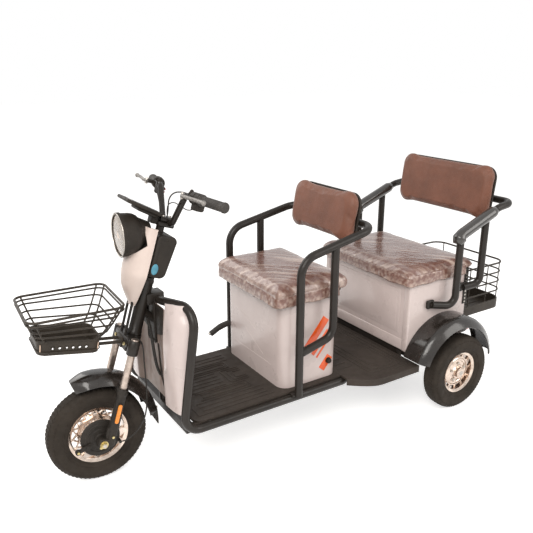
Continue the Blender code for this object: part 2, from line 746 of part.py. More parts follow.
def grip_line(y):
    """Place on the bar's outer run, which sweeps back to the grip's end."""
    share = (abs(y) - BAR_SHOULDER_Y) / (GRIP_OUTER_Y - BAR_SHOULDER_Y)
    return fork(BAR_SHOULDER_AHEAD + share * (GRIP_AHEAD - BAR_SHOULDER_AHEAD), y,
                BAR_SHOULDER_UP + share * (GRIP_UP - BAR_SHOULDER_UP))


def handlebar(steering):
    end_y = GRIP_OUTER_Y - GRIP_END_WALL
    left = [grip_line(end_y), grip_line(BAR_SHOULDER_Y), fork(BAR_AHEAD, 0.045, BAR_UP)]
    right = [Vector((p.x, -p.y, p.z)) for p in reversed(left)]
    attach(tube("handlebar", bent(left + right, [0.030] * 4, 4), BAR_R, "black_paint", 3),
           steering)


def grips(steering):
    """Grips with a blind bore for the bar's end."""
    for side, sign in SIDES:
        inner, outer = grip_line(sign * GRIP_INNER_Y), grip_line(sign * GRIP_OUTER_Y)
        along = (outer - inner).normalized()
        grip = cylinder("grip_" + side, inner, outer, GRIP_R, "rubber")
        bore = cylinder("grip_bore_" + side, inner - along * 0.01,
                        grip_line(sign * (GRIP_OUTER_Y - GRIP_END_WALL)) + along * SEAM,
                        BAR_R + SEAM * 2.0, "rubber")
        attach(cut(grip, [bore]), steering)


def hand_controls(steering):
    """Switch pod round the bar beside each grip, with the brake lever on its bracket."""
    for side, sign in SIDES:
        inner, outer = grip_line(sign * POD_INNER_Y), grip_line(sign * (GRIP_INNER_Y - SEAM))
        along = (outer - inner).normalized()
        pod = cylinder("control_" + side, inner, outer, POD_R, "black_plastic")
        perch = cylinder("perch_" + side,
                         grip_line(sign * (POD_INNER_Y + 0.015)) + AXIS_AHEAD * 0.014,
                         grip_line(sign * (POD_INNER_Y + 0.020)) + AXIS_AHEAD * LEVER_LEAD,
                         0.010, "black_plastic", 12)
        places = ((POD_INNER_Y + 0.010, -0.006), (POD_INNER_Y + 0.045, 0.004),
                  (GRIP_OUTER_Y - 0.055, 0.004), (GRIP_OUTER_Y - 0.025, 0.014))
        points = [grip_line(sign * y) + AXIS_AHEAD * (LEVER_LEAD + lead) for y, lead in places]
        lever = tube("lever_" + side, bent(points, [0.03, 0.03], 2), LEVER_R,
                     "black_plastic", 1)
        bore = cylinder("pod_bore_" + side, inner - along * 0.05, outer + along * 0.05,
                        BAR_R + SEAM * 2.0, "black_plastic")
        attach(cut(join(pod, [perch, lever]), [bore]), steering)


def instrument_panel(steering):
    """Thin sloping housing above the lamp, carried on the bar clamp."""
    hinge = Matrix.Translation((0.024, 0.0, BAR_CLAMP_TOP))
    panel = box("instrument_panel", (0.0, -PANEL_HALF_WIDTH, 0.0),
                (PANEL_LENGTH, PANEL_HALF_WIDTH, PANEL_THICKNESS), "black_plastic", 0.006)
    panel.matrix_world = fork_matrix() @ hinge @ Matrix.Rotation(-PANEL_PITCH, 4, "Y")
    neck = on_fork(box("panel_neck", (0.020 + SEAM, -0.022, BAR_CLAMP_BOTTOM + 0.004),
                       (0.046, 0.022, BAR_CLAMP_TOP + 0.008), "black_plastic"))
    attach(join(panel, [neck]), steering)


def shroud_half_width(up):
    """Half-width of the shroud: wide beside the lamp, narrow at its lower tip."""
    share = (up - SHROUD_BOTTOM) / (SHROUD_TOP - SHROUD_BOTTOM)
    return SHROUD_TIP_HALF + (COVER_HALF - SHROUD_TIP_HALF) * min(1.0, share / 0.5) ** 0.7


def steering_shroud(steering):
    """White shield-shaped shell in front of the column, cut out for the lamp."""
    def place(u, v):
        up = SHROUD_BOTTOM + v * (SHROUD_TOP - SHROUD_BOTTOM)
        turn = (u - 0.5) * pi
        bulge = SHROUD_BULGE * (0.62 + 0.38 * sin(pi * v))
        return Vector((COVER_FRONT + SHROUD_SEAM + bulge * cos(turn) ** 0.8,
                       shroud_half_width(up) * sin(turn), up))
    shell = on_fork(sheet("steering_shroud", 10, 7, place, SHEET, "white_plastic", -1.0))
    back, face = lamp_line()
    past = Vector((SHROUD_SEAM * 4.0, 0.0, 0.0))
    lamp_hole = cylinder("lamp_hole", back - past, face + past, LAMP_BACK_R + SEAM,
                         "white_plastic", 32, LAMP_R + SEAM * 3.0)
    attach(cut(shell, [lamp_hole]), steering)


def column_cover(steering):
    """Black box behind the shroud that closes the column, hollow and open below."""
    cover = box("column_cover", (COVER_BACK, -COVER_HALF, COVER_BOTTOM),
                (COVER_FRONT, COVER_HALF, COVER_TOP), "black_plastic", 0.010, 1, 2)
    inside = box("cover_inside", (COVER_BACK + SHEET, -COVER_HALF + SHEET, COVER_BOTTOM - 0.01),
                 (COVER_FRONT - SHEET, COVER_HALF - SHEET, COVER_TOP - SHEET), "black_plastic")
    hole = cylinder("cover_hole", (0.0, 0.0, COVER_TOP - 0.03), (0.0, 0.0, COVER_TOP + 0.03),
                    STEERER_R + SEAM, "black_plastic")
    for piece in (cover, inside, hole):
        on_fork(piece)
    attach(cut(cover, [inside, hole]), steering)


def lamp_line():
    """Centres of the lamp's back and face."""
    face = Vector((behind(LAMP_FACE_BEHIND), 0.0, LAMP_Z))
    return face - Vector((LAMP_DEPTH, 0.0, 0.0)), face


def headlamp(steering):
    """Round lamp bucket facing forward, on a bracket to the column cover, and its lens."""
    back, face = lamp_line()
    rest = Vector((LENS_DEPTH, 0.0, 0.0))
    bucket = cylinder("headlamp", back, face, LAMP_BACK_R, "black_plastic", 32, LAMP_R)
    bracket = on_fork(box("lamp_bracket", (COVER_FRONT + SEAM, -0.028, LAMP_BRACKET_BOTTOM),
                          (0.070, 0.028, LAMP_BRACKET_BOTTOM + 0.050), "black_plastic"))
    seat = cylinder("lens_seat", face - rest, face + rest, LAMP_R - LAMP_BEZEL,
                    "black_plastic", 32)
    attach(cut(join(bucket, [bracket]), [seat]), steering)
    seam = Vector((SEAM, 0.0, 0.0))
    attach(cylinder("headlamp_lens", face - rest + seam, face + seam * 5.0,
                    LAMP_R - LAMP_BEZEL - SEAM, "lens", 32), steering)


def front_fender(steering):
    """Fender over the front wheel with stays to both legs and a mudflap."""
    centre = FRONT_AXLE + Vector((0.0, 0.0, FRONT_FENDER_RISE))

    def place(u, v):
        angle = FRONT_FENDER_START + v * (FRONT_FENDER_END - FRONT_FENDER_START)
        across = (u - 0.5) * 2.0
        radius = FRONT_FENDER_R - FRONT_FENDER_CROWN * abs(across) ** 3
        return centre + Vector((radius * cos(angle), FRONT_FENDER_HALF_WIDTH * across,
                                radius * sin(angle)))
    guard = sheet("front_fender", 6, 12, place, SHEET, "black_plastic", -1.0)
    tail = centre + Vector((FRONT_FENDER_R * cos(FRONT_FENDER_END), 0.0,
                            FRONT_FENDER_R * sin(FRONT_FENDER_END)))
    flap = box("mudflap", tail + Vector((-0.0010, -0.036, -FLAP_LENGTH)),
               tail + Vector((0.0025, 0.036, 0.012)), "rubber")
    stays = []
    for side, sign in SIDES:
        reach = sorted((sign * (FRONT_FENDER_HALF_WIDTH - 0.010),
                        sign * (LEG_Y - SLIDER_R - SEAM)))
        stays.append(on_fork(box("fender_stay_" + side, (0.010, reach[0], SLIDER_TOP - 0.024),
                                 (0.040, reach[1], SLIDER_TOP + 0.004), "black_plastic")))
    attach(join(guard, [flap] + stays), steering)


def basket_ring(share):
    """A ring of the front basket: 0 is the pitched tray's edge, 1 the level rim."""
    grown = share ** 0.8
    front = FRONT_TRAY_FRONT_AHEAD + grown * (FRONT_BASKET_FRONT_AHEAD - FRONT_TRAY_FRONT_AHEAD)
    back = FRONT_TRAY_BACK_BEHIND + grown * (FRONT_BASKET_BACK_BEHIND - FRONT_TRAY_BACK_BEHIND)
    half_width = FRONT_TRAY_HALF_WIDTH + grown * (FRONT_BASKET_HALF_WIDTH
                                                  - FRONT_TRAY_HALF_WIDTH)
    ring = rounded_loop((front + back) / 2.0, half_width, 0.035,
                        (FRONT_AXLE_X + (front - back) / 2.0, 0.0, 0.0))
    slope = (FRONT_TRAY_FRONT_Z - FRONT_TRAY_BACK_Z) / (FRONT_TRAY_FRONT_AHEAD
                                                        + FRONT_TRAY_BACK_BEHIND)
    for point in ring:
        low = FRONT_TRAY_BACK_Z + slope * (point.x - behind(FRONT_TRAY_BACK_BEHIND))
        point.z = low + (FRONT_BASKET_RIM_Z - low) * share
    return ring


def front_tray():
    """Pressed tray with a row of drain holes in its side."""
    half_length = (FRONT_TRAY_FRONT_AHEAD + FRONT_TRAY_BACK_BEHIND) / 2.0
    half_width = FRONT_TRAY_HALF_WIDTH + WIRE_R
    pitch = atan2(FRONT_TRAY_FRONT_Z - FRONT_TRAY_BACK_Z, half_length * 2.0)
    middle = Vector((FRONT_AXLE_X + (FRONT_TRAY_FRONT_AHEAD - FRONT_TRAY_BACK_BEHIND) / 2.0,
                     0.0, (FRONT_TRAY_FRONT_Z + FRONT_TRAY_BACK_Z) / 2.0))
    place = Matrix.Translation(middle) @ Matrix.Rotation(-pitch, 4, "Y")
    reach = half_length + WIRE_R
    body = box("front_tray", (-reach, -half_width, -FRONT_TRAY_DEPTH),
               (reach, half_width, WIRE_R), "black_paint", 0.030, 2, 3)
    tools = [box("tray_inside", (-reach + TRAY_WALL, -half_width + TRAY_WALL,
                                 -FRONT_TRAY_DEPTH + TRAY_WALL),
                 (reach - TRAY_WALL, half_width - TRAY_WALL, 0.02), "black_paint",
                 0.030 - TRAY_WALL, 2, 3)]
    for i in range(TRAY_HOLES):
        x = (i - (TRAY_HOLES - 1) / 2.0) * TRAY_HOLE_PITCH
        tools.append(cylinder("tray_hole_%d" % i, (x, -0.2, -FRONT_TRAY_DEPTH / 2.0),
                              (x, 0.2, -FRONT_TRAY_DEPTH / 2.0), TRAY_HOLE_R,
                              "black_paint", 8))
    for piece in [body] + tools:
        piece.matrix_world = place
    return cut(body, tools), place, reach


def front_basket(steering):
    """Wire basket: level rim, rings that fan down to the tray, uprights, crown bracket."""
    rim_ring = tube("front_basket", basket_ring(1.0), RIM_WIRE_R, "black_paint", 0, True)
    parts = []
    for number, share in enumerate(FRONT_RING_SHARES):
        parts.append(tube("front_ring_%d" % number, basket_ring(share), WIRE_R, "black_paint",
                          0, True))
    for number, spot in enumerate(BASKET_UPRIGHTS):
        rises = [basket_ring(share)[spot] for share in (0.0,) + FRONT_RING_SHARES + (1.0,)]
        parts.append(tube("front_upright_%d" % number, rises, WIRE_R, "black_paint", 0))
    tray, place, reach = front_tray()
    bracket = on_fork(box("basket_bracket",
                          (LEG_LEAD + CROWN_HALF + SEAM, -0.030, CROWN_BOTTOM + 0.004),
                          (LEG_LEAD + CROWN_HALF + BRACKET_PLATE, 0.030, CROWN_TOP - 0.012),
                          "black_paint"))
    arms = []
    for side, sign in SIDES:
        start = fork(LEG_LEAD + CROWN_HALF + BRACKET_PLATE - 0.001, sign * 0.022, BRACKET_UP)
        end = place @ Vector((-reach + 0.002, sign * 0.022, -FRONT_TRAY_DEPTH + 0.014))
        arms.append(cylinder("bracket_arm_" + side, start, end, BRACKET_ARM_R,
                             "black_paint", 10))
    attach(join(rim_ring, parts + [tray, bracket] + arms), steering)


# Frame
def leg_line(z):
    """World X of a side tube's leg at a height."""
    share = (z - SIDE_TUBE_Z) / (SHOULDER_Z - SIDE_TUBE_Z)
    return behind(LEG_FOOT_BEHIND + share * (SHOULDER_BEHIND - LEG_FOOT_BEHIND))


def side_tubes():
    """Each floor rail with its leg and half of the arch behind the head tube."""
    for side, sign in SIDES:
        y = sign * SIDE_TUBE_Y
        points = [
            (behind(ARCH_BEHIND), sign * ARCH_INNER_Y, ARCH_Z),
            (behind(ARCH_BEHIND), sign * (ARCH_INNER_Y + 0.020), ARCH_Z),
            (behind(SHOULDER_BEHIND), y, SHOULDER_Z),
            (behind(LEG_FOOT_BEHIND), y, SIDE_TUBE_Z),
            (behind(SIDE_TUBE_END_BEHIND), y, SIDE_TUBE_Z),
            (behind(SIDE_TUBE_END_BEHIND), sign * (FRONT_RAIL_Y + RAIL_SECTION / 2.0 + SEAM),
             SIDE_TUBE_Z),
        ]
        tube("side_tube_" + side, bent(points, [0.060, SHOULDER_BEND_R, FOOT_BEND_R, 0.030]),
             TUBE_R, "black_paint")


def head_frame():
    """Head tube, down tube to the front cross member, and the gusset that holds the arch."""
    head = cylinder("head_frame", fork(0.0, 0.0, CROWN_TOP + SEAM),
                    fork(0.0, 0.0, HEAD_TUBE_TOP), HEAD_TUBE_R, "black_paint")
    down = tube("down_tube", bent([fork(-0.004, 0.0, DOWN_TUBE_UP),
                                   Vector((behind(DOWN_TUBE_BEHIND), 0.0, 0.560)),
                                   Vector((behind(DOWN_TUBE_BEHIND), 0.0,
                                           RAIL_TOP + SEAM))], [0.05]),
                TUBE_R, "black_paint")
    gusset = box("head_gusset", (behind(ARCH_BEHIND + 0.022), -ARCH_INNER_Y + SEAM, 0.646),
                 (behind(0.212), ARCH_INNER_Y - SEAM, 0.688), "black_paint")
    bore = cylinder("head_bore", fork(0.0, 0.0, CROWN_TOP - 0.05),
                    fork(0.0, 0.0, HEAD_TUBE_TOP + 0.05), HEAD_TUBE_BORE_R, "black_paint")
    cut(join(head, [down, gusset]), [bore])


def underframe():
    """Rails and cross members under the floor and the bench, with the spring hangers."""
    floor_low, floor_high = RAIL_TOP - FRONT_RAIL_HEIGHT, RAIL_TOP
    bench_high = BENCH_BOTTOM - SEAM
    bench_low = bench_high - RAIL_SECTION
    half = RAIL_SECTION / 2.0
    side_y = SIDE_TUBE_Y - TUBE_R - SEAM
    kick = FLOOR_REAR_BEHIND + 0.003
    wide = REAR_RAIL_Y + half
    front_x = DOWN_TUBE_BEHIND
    # columns: name, front and rear behind the front axle, right and left Y, low and high Z
    table = [
        ("underframe", front_x - half, front_x + half, -side_y, side_y, floor_low, floor_high),
        ("cross_seat", DRIVER_POST_BEHIND - 0.025, DRIVER_POST_BEHIND + 0.005, -side_y, side_y,
         floor_low, floor_high),
        ("cross_kick", kick, kick + RAIL_SECTION, -wide, wide, floor_low, bench_high),
        ("cross_tail", REAR_RAIL_END_BEHIND - RAIL_SECTION, REAR_RAIL_END_BEHIND, -wide, wide,
         bench_low, bench_high),
    ]
    spring_ends = (WHEELBASE - SPRING_HALF_LENGTH, WHEELBASE + SPRING_HALF_LENGTH)
    for side, sign in SIDES:
        front = sorted((sign * (FRONT_RAIL_Y - half), sign * (FRONT_RAIL_Y + half)))
        rear = sorted((sign * (REAR_RAIL_Y - half), sign * (REAR_RAIL_Y + half)))
        table.append(("rail_front_" + side, front_x, kick + 0.01, *front, floor_low, floor_high))
        table.append(("rail_rear_" + side, kick + 0.01, REAR_RAIL_END_BEHIND - 0.01, *rear,
                      bench_low, bench_high))
        for number, spot in enumerate(spring_ends):
            table.append(("hanger_%s_%d" % (side, number), spot - 0.012, spot + 0.012, *rear,
                          bench_low - HANGER_DROP, bench_low + 0.01))
    pieces = []
    for name, front, rear, right, left, low, high in table:
        pieces.append(box(name, (behind(rear), right, low), (behind(front), left, high),
                          "black_paint"))
    join(pieces[0], pieces[1:])


def floors():
    """Front floor sheet, and the wider rear floor as a pan with skirts."""
    corner = 0.030
    steps = 4
    front = [(behind(FLOOR_SPLIT_BEHIND - SEAM), -FLOOR_FRONT_HALF_WIDTH)]
    for sign in (-1, 1):
        centre = (behind(FLOOR_FRONT_BEHIND + corner), sign * (FLOOR_FRONT_HALF_WIDTH - corner))
        turns = range(steps + 1) if sign < 0 else range(steps, -1, -1)
        for i in turns:
            angle = (pi / 2.0) * (1.0 - i / steps)
            front.append((centre[0] + corner * cos(angle), centre[1] + sign * corner * sin(angle)))
    front.append((behind(FLOOR_SPLIT_BEHIND - SEAM), FLOOR_FRONT_HALF_WIDTH))
    panel = outline_slab("floor_front", front, FLOOR_Z, FLOOR_THICKNESS, "floor_black")
    tread = box("floor_tread", (behind(DRIVER_BOX_FRONT_BEHIND - TREAD_MARGIN),
                                -FLOOR_FRONT_HALF_WIDTH + TREAD_MARGIN, FLOOR_Z - 0.004),
                (behind(FLOOR_FRONT_BEHIND + TREAD_MARGIN),
                 FLOOR_FRONT_HALF_WIDTH - TREAD_MARGIN, FLOOR_Z + TREAD_RISE), "floor_black")
    join(panel, [tread])

    def rear_outline(inset, ahead, past):
        """Half outline of the rear floor from its front to its rear, one side."""
        flare = FLOOR_FLARE_BEHIND - FLOOR_SPLIT_BEHIND
        grow = FLOOR_REAR_HALF_WIDTH - FLOOR_NECK_HALF_WIDTH
        line = [(behind(FLOOR_SPLIT_BEHIND - ahead), FLOOR_NECK_HALF_WIDTH - inset)]
        for i in range(7):
            share = i / 6.0
            line.append((behind(FLOOR_SPLIT_BEHIND + flare * share),
                         FLOOR_NECK_HALF_WIDTH - inset + grow * sin(share * pi / 2.0)))
        line.append((behind(FLOOR_REAR_BEHIND + past), FLOOR_REAR_HALF_WIDTH - inset))
        return line if ahead > 0.0 else line[1:]

    def whole(half):
        return half + [(x, -y) for x, y in reversed(half)]
    pan = outline_slab("floor_rear", whole(rear_outline(0.0, 0.0, 0.0)), FLOOR_Z,
                       FLOOR_REAR_DEPTH, "floor_black")
    below = outline_slab("floor_rear_inside", whole(rear_outline(PAN_WALL, 0.05, 0.05)),
                         FLOOR_Z - FLOOR_THICKNESS, FLOOR_REAR_DEPTH, "floor_black")
    cut(pan, [below])


def leg_shield():
    """White wings beside the legs of the side tubes and the recessed panel between them."""
    bend_y = SIDE_TUBE_Y - SHOULDER_BEND_R
    bend_z = SHOULDER_Z - SHOULDER_BEND_R * 1.16
    reach = SHOULDER_BEND_R - TUBE_R - 0.002

    def outer_y(z):
        flat = SIDE_TUBE_Y - TUBE_R - SEAM
        if z <= bend_z:
            return flat
        return min(flat, bend_y + (reach ** 2 - (z - bend_z) ** 2) ** 0.5)

    def inner_edge_x(z):
        share = (z - SHIELD_BOTTOM) / (SHIELD_TOP - SHIELD_BOTTOM)
        return leg_line(z) + SHIELD_BULGE * (0.35 + 0.65 * sin(share * pi / 2.0))

    for side, sign in SIDES:
        def place(u, v, sign=sign):
            across = u if sign > 0 else 1.0 - u
            z = SHIELD_BOTTOM + v * (SHIELD_TOP - SHIELD_BOTTOM)
            y = SHIELD_INNER_Y + across * (outer_y(z) - SHIELD_INNER_Y)
            back = leg_line(z)
            x = back + (inner_edge_x(z) - back) * (1.0 - across ** 2) ** 0.5
            return Vector((x, sign * y, z))
        sheet("leg_shield_" + side, 6, 8, place, SHEET, "white_plastic", -1.0)

    def centre_place(u, v):
        y = (u - 0.5) * 2.0 * (SHIELD_INNER_Y - SHEET)
        z = SHIELD_BOTTOM + v * (SHIELD_TOP - SHIELD_BOTTOM)
        share = max(0.0, (abs(y) - SHIELD_FLAT_Y) / (SHIELD_INNER_Y - SHIELD_FLAT_Y))
        recess = behind(SHIELD_RECESS_BEHIND)
        return Vector((recess + (inner_edge_x(z) - recess) * share, y, z))
    centre = sheet("leg_shield_centre", 12, 4, centre_place, SHEET, "white_plastic", -1.0)
    slot = box("shield_slot", (behind(SHOULDER_BEHIND), -ARCH_INNER_Y, SHIELD_SLOT_Z),
               (behind(SHIELD_RECESS_BEHIND - 0.046), ARCH_INNER_Y, SHIELD_TOP + 0.048),
               "white_plastic")
    cut(centre, [slot])


# Driver's seat
def open_box(name, front, rear, half_width, bottom, top, wall, corner, material):
    """A seat box with rounded upright corners, open on top."""
    body = box(name, (behind(rear), -half_width, bottom), (behind(front), half_width, top),
               material, corner, 2, 4)
    inside = box(name + "_inside", (behind(rear - wall), -half_width + wall, bottom + wall),
                 (behind(front + wall), half_width - wall, top + 0.05), material,
                 max(corner - wall, 0.004), 2, 4)
    return cut(body, [inside])


def driver_box():
    bottom = FLOOR_Z + SEAM
    open_box("driver_box", DRIVER_BOX_FRONT_BEHIND, DRIVER_BOX_REAR_BEHIND,
             DRIVER_BOX_HALF_WIDTH, bottom, DRIVER_BOX_TOP, BOX_WALL, DRIVER_BOX_CORNER,
             "white_plastic")
    inner_bottom = bottom + BOX_WALL + SEAM
    middle = (DRIVER_BOX_FRONT_BEHIND + DRIVER_BOX_REAR_BEHIND) / 2.0
    box("battery_block", (behind(middle + BATTERY_LENGTH / 2.0), -BATTERY_WIDTH / 2.0,
                          inner_bottom),
        (behind(middle - BATTERY_LENGTH / 2.0), BATTERY_WIDTH / 2.0,
         inner_bottom + BATTERY_HEIGHT), "black_plastic", 0.006)


def seat_lid(prefix, front, rear, half_width, box_top, cushion, hinge):
    """Hinged lid board with its cushion; cushion holds front, rear, half width, height."""
    axis = pivot(prefix + "_lid_hinge", Matrix.Translation((behind(hinge), 0.0, box_top + SEAM)))
    board = box(prefix + "_lid", (behind(rear), -half_width, box_top + SEAM),
                (behind(front), half_width, box_top + SEAM + LID_THICKNESS), "black_plastic",
                0.020, 2, 3)
    c_front, c_rear, c_half, c_height = cushion
    c_bottom = box_top + LID_THICKNESS + 2.0 * SEAM
    pad = box(prefix + "_cushion", (behind(c_rear), -c_half, c_bottom),
              (behind(c_front), c_half, c_bottom + c_height), "brown_leather", 0.020)
    attach(board, axis)
    attach(pad, axis)


def backrest(prefix, face, z, half_width, height, lean, rail_behind, rail_z):
    """Leaning pad with rounded corners on a shell, with brackets that reach the rail."""
    pose = Matrix.Translation((behind(face), 0.0, z)) @ Matrix.Rotation(-lean, 4, "Y")
    pad = box(prefix + "_backrest", (-BACK_PAD_THICKNESS, -half_width, -height / 2.0),
              (0.0, half_width, height / 2.0), "brown_leather", 0.040, 0, 4)
    pad.matrix_world = pose
    edge = 0.004
    shell = box(prefix + "_back_shell",
                (-BACK_PAD_THICKNESS - SEAM - BACK_SHELL_THICKNESS, -half_width + edge,
                 -height / 2.0 + edge),
                (-BACK_PAD_THICKNESS - SEAM, half_width - edge, height / 2.0 - edge),
                "black_plastic", 0.040 - edge, 0, 4)
    shell.matrix_world = pose
    back_face = face + (BACK_PAD_THICKNESS + BACK_SHELL_THICKNESS / 2.0) / cos(lean)
    brackets = []
    for side, sign in SIDES:
        inner, outer = sorted((sign * half_width * 0.35, sign * half_width * 0.52))
        drop = (z - rail_z) * tan(lean)
        brackets.append(box("%s_back_bracket_%s" % (prefix, side),
                            (behind(rail_behind - TUBE_R * 0.4), inner, rail_z - 0.012),
                            (behind(back_face - drop), outer, rail_z + 0.012),
                            "black_plastic"))
    saddle = cylinder(prefix + "_back_saddle", (behind(rail_behind), -half_width, rail_z),
                      (behind(rail_behind), half_width, rail_z), TUBE_R + SEAM,
                      "black_plastic", 24)
    cut(join(shell, brackets), [saddle])


def driver_rail():
    """Tube rail round the driver's seat, with a shorter post welded in on each side."""
    y = DRIVER_RAIL_Y
    slope = (DRIVER_RAIL_CORNER_Z - DRIVER_BEND_Z) / (DRIVER_RAIL_CORNER_BEHIND
                                                      - DRIVER_POST_BEHIND)
    left = [(behind(DRIVER_POST_BEHIND), y, DRIVER_POST_FOOT_Z),
            (behind(DRIVER_POST_BEHIND + 0.002), y, DRIVER_BEND_Z),
            (behind(DRIVER_RAIL_CORNER_BEHIND), y, DRIVER_RAIL_CORNER_Z)]
    right = [(x, -y0, z) for x, y0, z in reversed(left)]
    rail = tube("driver_rail", bent(left + right, [0.080, 0.060, 0.060, 0.080]), TUBE_R,
                "black_paint")
    posts = []
    feet = []
    for side, sign in SIDES:
        top_z = DRIVER_BEND_Z + slope * (DRIVER_REAR_POST_BEHIND - DRIVER_POST_BEHIND)
        line = [(behind(DRIVER_REAR_POST_BEHIND), sign * y, top_z),
                (behind(DRIVER_REAR_POST_BEHIND), sign * y, DRIVER_REAR_POST_BEND_Z),
                (behind(DRIVER_POST_BEHIND + 0.006), sign * y, DRIVER_REAR_POST_JOIN_Z)]
        posts.append(tube("driver_rear_post_" + side, bent(line, [0.055]), TUBE_R,
                          "black_paint"))
        feet.append(cylinder("driver_foot_cut_" + side,
                             (behind(DRIVER_POST_BEHIND + 0.1), sign * SIDE_TUBE_Y, SIDE_TUBE_Z),
                             (behind(DRIVER_POST_BEHIND - 0.1), sign * SIDE_TUBE_Y, SIDE_TUBE_Z),
                             (TUBE_R + SEAM) / cos(pi / 24), "black_paint", 24))
    cut(join(rail, posts), feet)


def parking_lever():
    """Curved lever that stands on the floor beside the driver's box."""
    y = -(DRIVER_BOX_HALF_WIDTH + DRIVER_RAIL_Y - TUBE_R) / 2.0
    points = [(behind(LEVER_FOOT_BEHIND), y, FLOOR_Z + SEAM),
              (behind(LEVER_FOOT_BEHIND), y, FLOOR_Z + LEVER_ELBOW_UP),
              (behind(LEVER_KNEE_BEHIND), y, FLOOR_Z + LEVER_KNEE_UP),
              (behind(LEVER_TIP_BEHIND), y, FLOOR_Z + LEVER_TIP_UP)]
    tube("parking_lever", bent(points, [0.030, 0.060]), LEVER_BAR_R, "black_plastic")


# Bench
def bench_box():
    """Storage box under the bench, its front framed by pillars and a toe band."""
    body = open_box("bench_box", BENCH_FRONT_BEHIND, BENCH_REAR_BEHIND, BENCH_HALF_WIDTH,
                    BENCH_BOTTOM, BENCH_TOP, BENCH_WALL, 0.008, "white_plastic")
    reach = BENCH_HALF_WIDTH - PILLAR_WIDTH
    front = BENCH_FRONT_BEHIND
    panel = box("bench_panel_cut", (behind(front + PANEL_RECESS), -reach, TOE_BAND_TOP),
                (behind(front - 0.05), reach, BENCH_TOP - 0.022), "white_plastic")
    toe = box("bench_toe_cut", (behind(front + PANEL_RECESS + 0.002), -reach,
                                BENCH_BOTTOM - 0.05),
              (behind(front - 0.05), reach, TOE_BAND_TOP + 0.0001), "white_plastic")
    cut(body, [panel, toe])


def arm_rail_points(sign):
    """Half of the bench rail, from the foot on the box's side to the corner behind."""
    foot_y = BENCH_HALF_WIDTH + TUBE_R + 2.0 * SEAM
    return [
        (behind(ARM_FOOT_BEHIND), sign * foot_y, ARM_FOOT_Z),
        (behind(ARM_POST_BEHIND), sign * ARM_Y, ARM_BEND_Z),
        (behind(ARM_POST_BEHIND), sign * ARM_Y, ARM_TOP_Z),
        (behind(ARM_REAR_BEHIND), sign * ARM_Y, ARM_REAR_Z),
        (behind(BENCH_RAIL_BEHIND), sign * ARM_Y, BENCH_RAIL_Z),
    ]


def arm_rear_post_points(sign):
    """Rear post of an arm rail, from the rail down to its foot on the box's side."""
    slope = (ARM_REAR_Z - ARM_TOP_Z) / (ARM_REAR_BEHIND - ARM_POST_BEHIND)
    top_z = ARM_TOP_Z + slope * (ARM_REAR_POST_BEHIND - ARM_POST_BEHIND)
    foot_y = BENCH_HALF_WIDTH + TUBE_R + 2.0 * SEAM
    return [(behind(ARM_REAR_POST_BEHIND), sign * ARM_Y, top_z),
            (behind(ARM_REAR_POST_BEHIND), sign * ARM_Y, ARM_REAR_FOOT_Z + 0.012),
            (behind(ARM_REAR_FOOT_BEHIND), sign * foot_y, ARM_REAR_FOOT_Z)]


def bench_rail():
    """Arm rails and the rail behind the bench in one tube, with a rear post on each side."""
    line = arm_rail_points(1) + list(reversed(arm_rail_points(-1)))
    rail = tube("bench_rail", bent(line, ARM_BENDS + ARM_BENDS[::-1], 3), TUBE_R, "black_paint")
    posts = []
    for side, sign in SIDES:
        posts.append(tube("arm_rear_post_" + side, bent(arm_rear_post_points(sign), [0.035]),
                          TUBE_R, "black_paint"))
    join(rail, posts)


def arm_pads():
    """Soft pads over the sloping arm rails, cut to sit round the tube."""
    for side, sign in SIDES:
        y = sign * ARM_Y
        line = [(behind(ARM_POST_BEHIND - 0.018), y, ARM_TOP_Z - 0.030),
                (behind(ARM_POST_BEHIND - 0.004), y, ARM_TOP_Z + 0.004),
                (behind(ARM_REAR_BEHIND - 0.020), y, ARM_REAR_Z - 0.008)]
        pad = tube("arm_pad_" + side, bent(line, [PAD_R * 1.4], 3), PAD_R, "rubber", 2)
        rail = tube("pad_bore_" + side, bent(arm_rail_points(sign), ARM_BENDS[:3], 3),
                    TUBE_R + SEAM * 2.0, "rubber")
        top, bend, _ = arm_rear_post_points(sign)
        post = cylinder("pad_post_hole_" + side, bend, top, TUBE_R + SEAM * 4.0, "rubber", 8)
        cut(pad, [rail, post])


# Rear end
def rear_fenders():
    centre = Vector((behind(FENDER_CENTRE_BEHIND), 0.0, FENDER_CENTRE_Z))
    inner_y = BENCH_HALF_WIDTH + SEAM
    for side, sign in SIDES:
        def place(u, v, sign=sign):
            across = u if sign > 0 else 1.0 - u
            angle = FENDER_START + v * (FENDER_END - FENDER_START)
            roll = max(0.0, (across - 0.70) / 0.30)
            radius = FENDER_R - FENDER_LIP * roll ** 2
            y = inner_y + across * (FENDER_OUTER_Y - inner_y)
            return centre + Vector((radius * cos(angle), sign * y, radius * sin(angle)))
        sheet("rear_fender_" + side, 6, 12, place, SHEET, "black_plastic", -1.0)


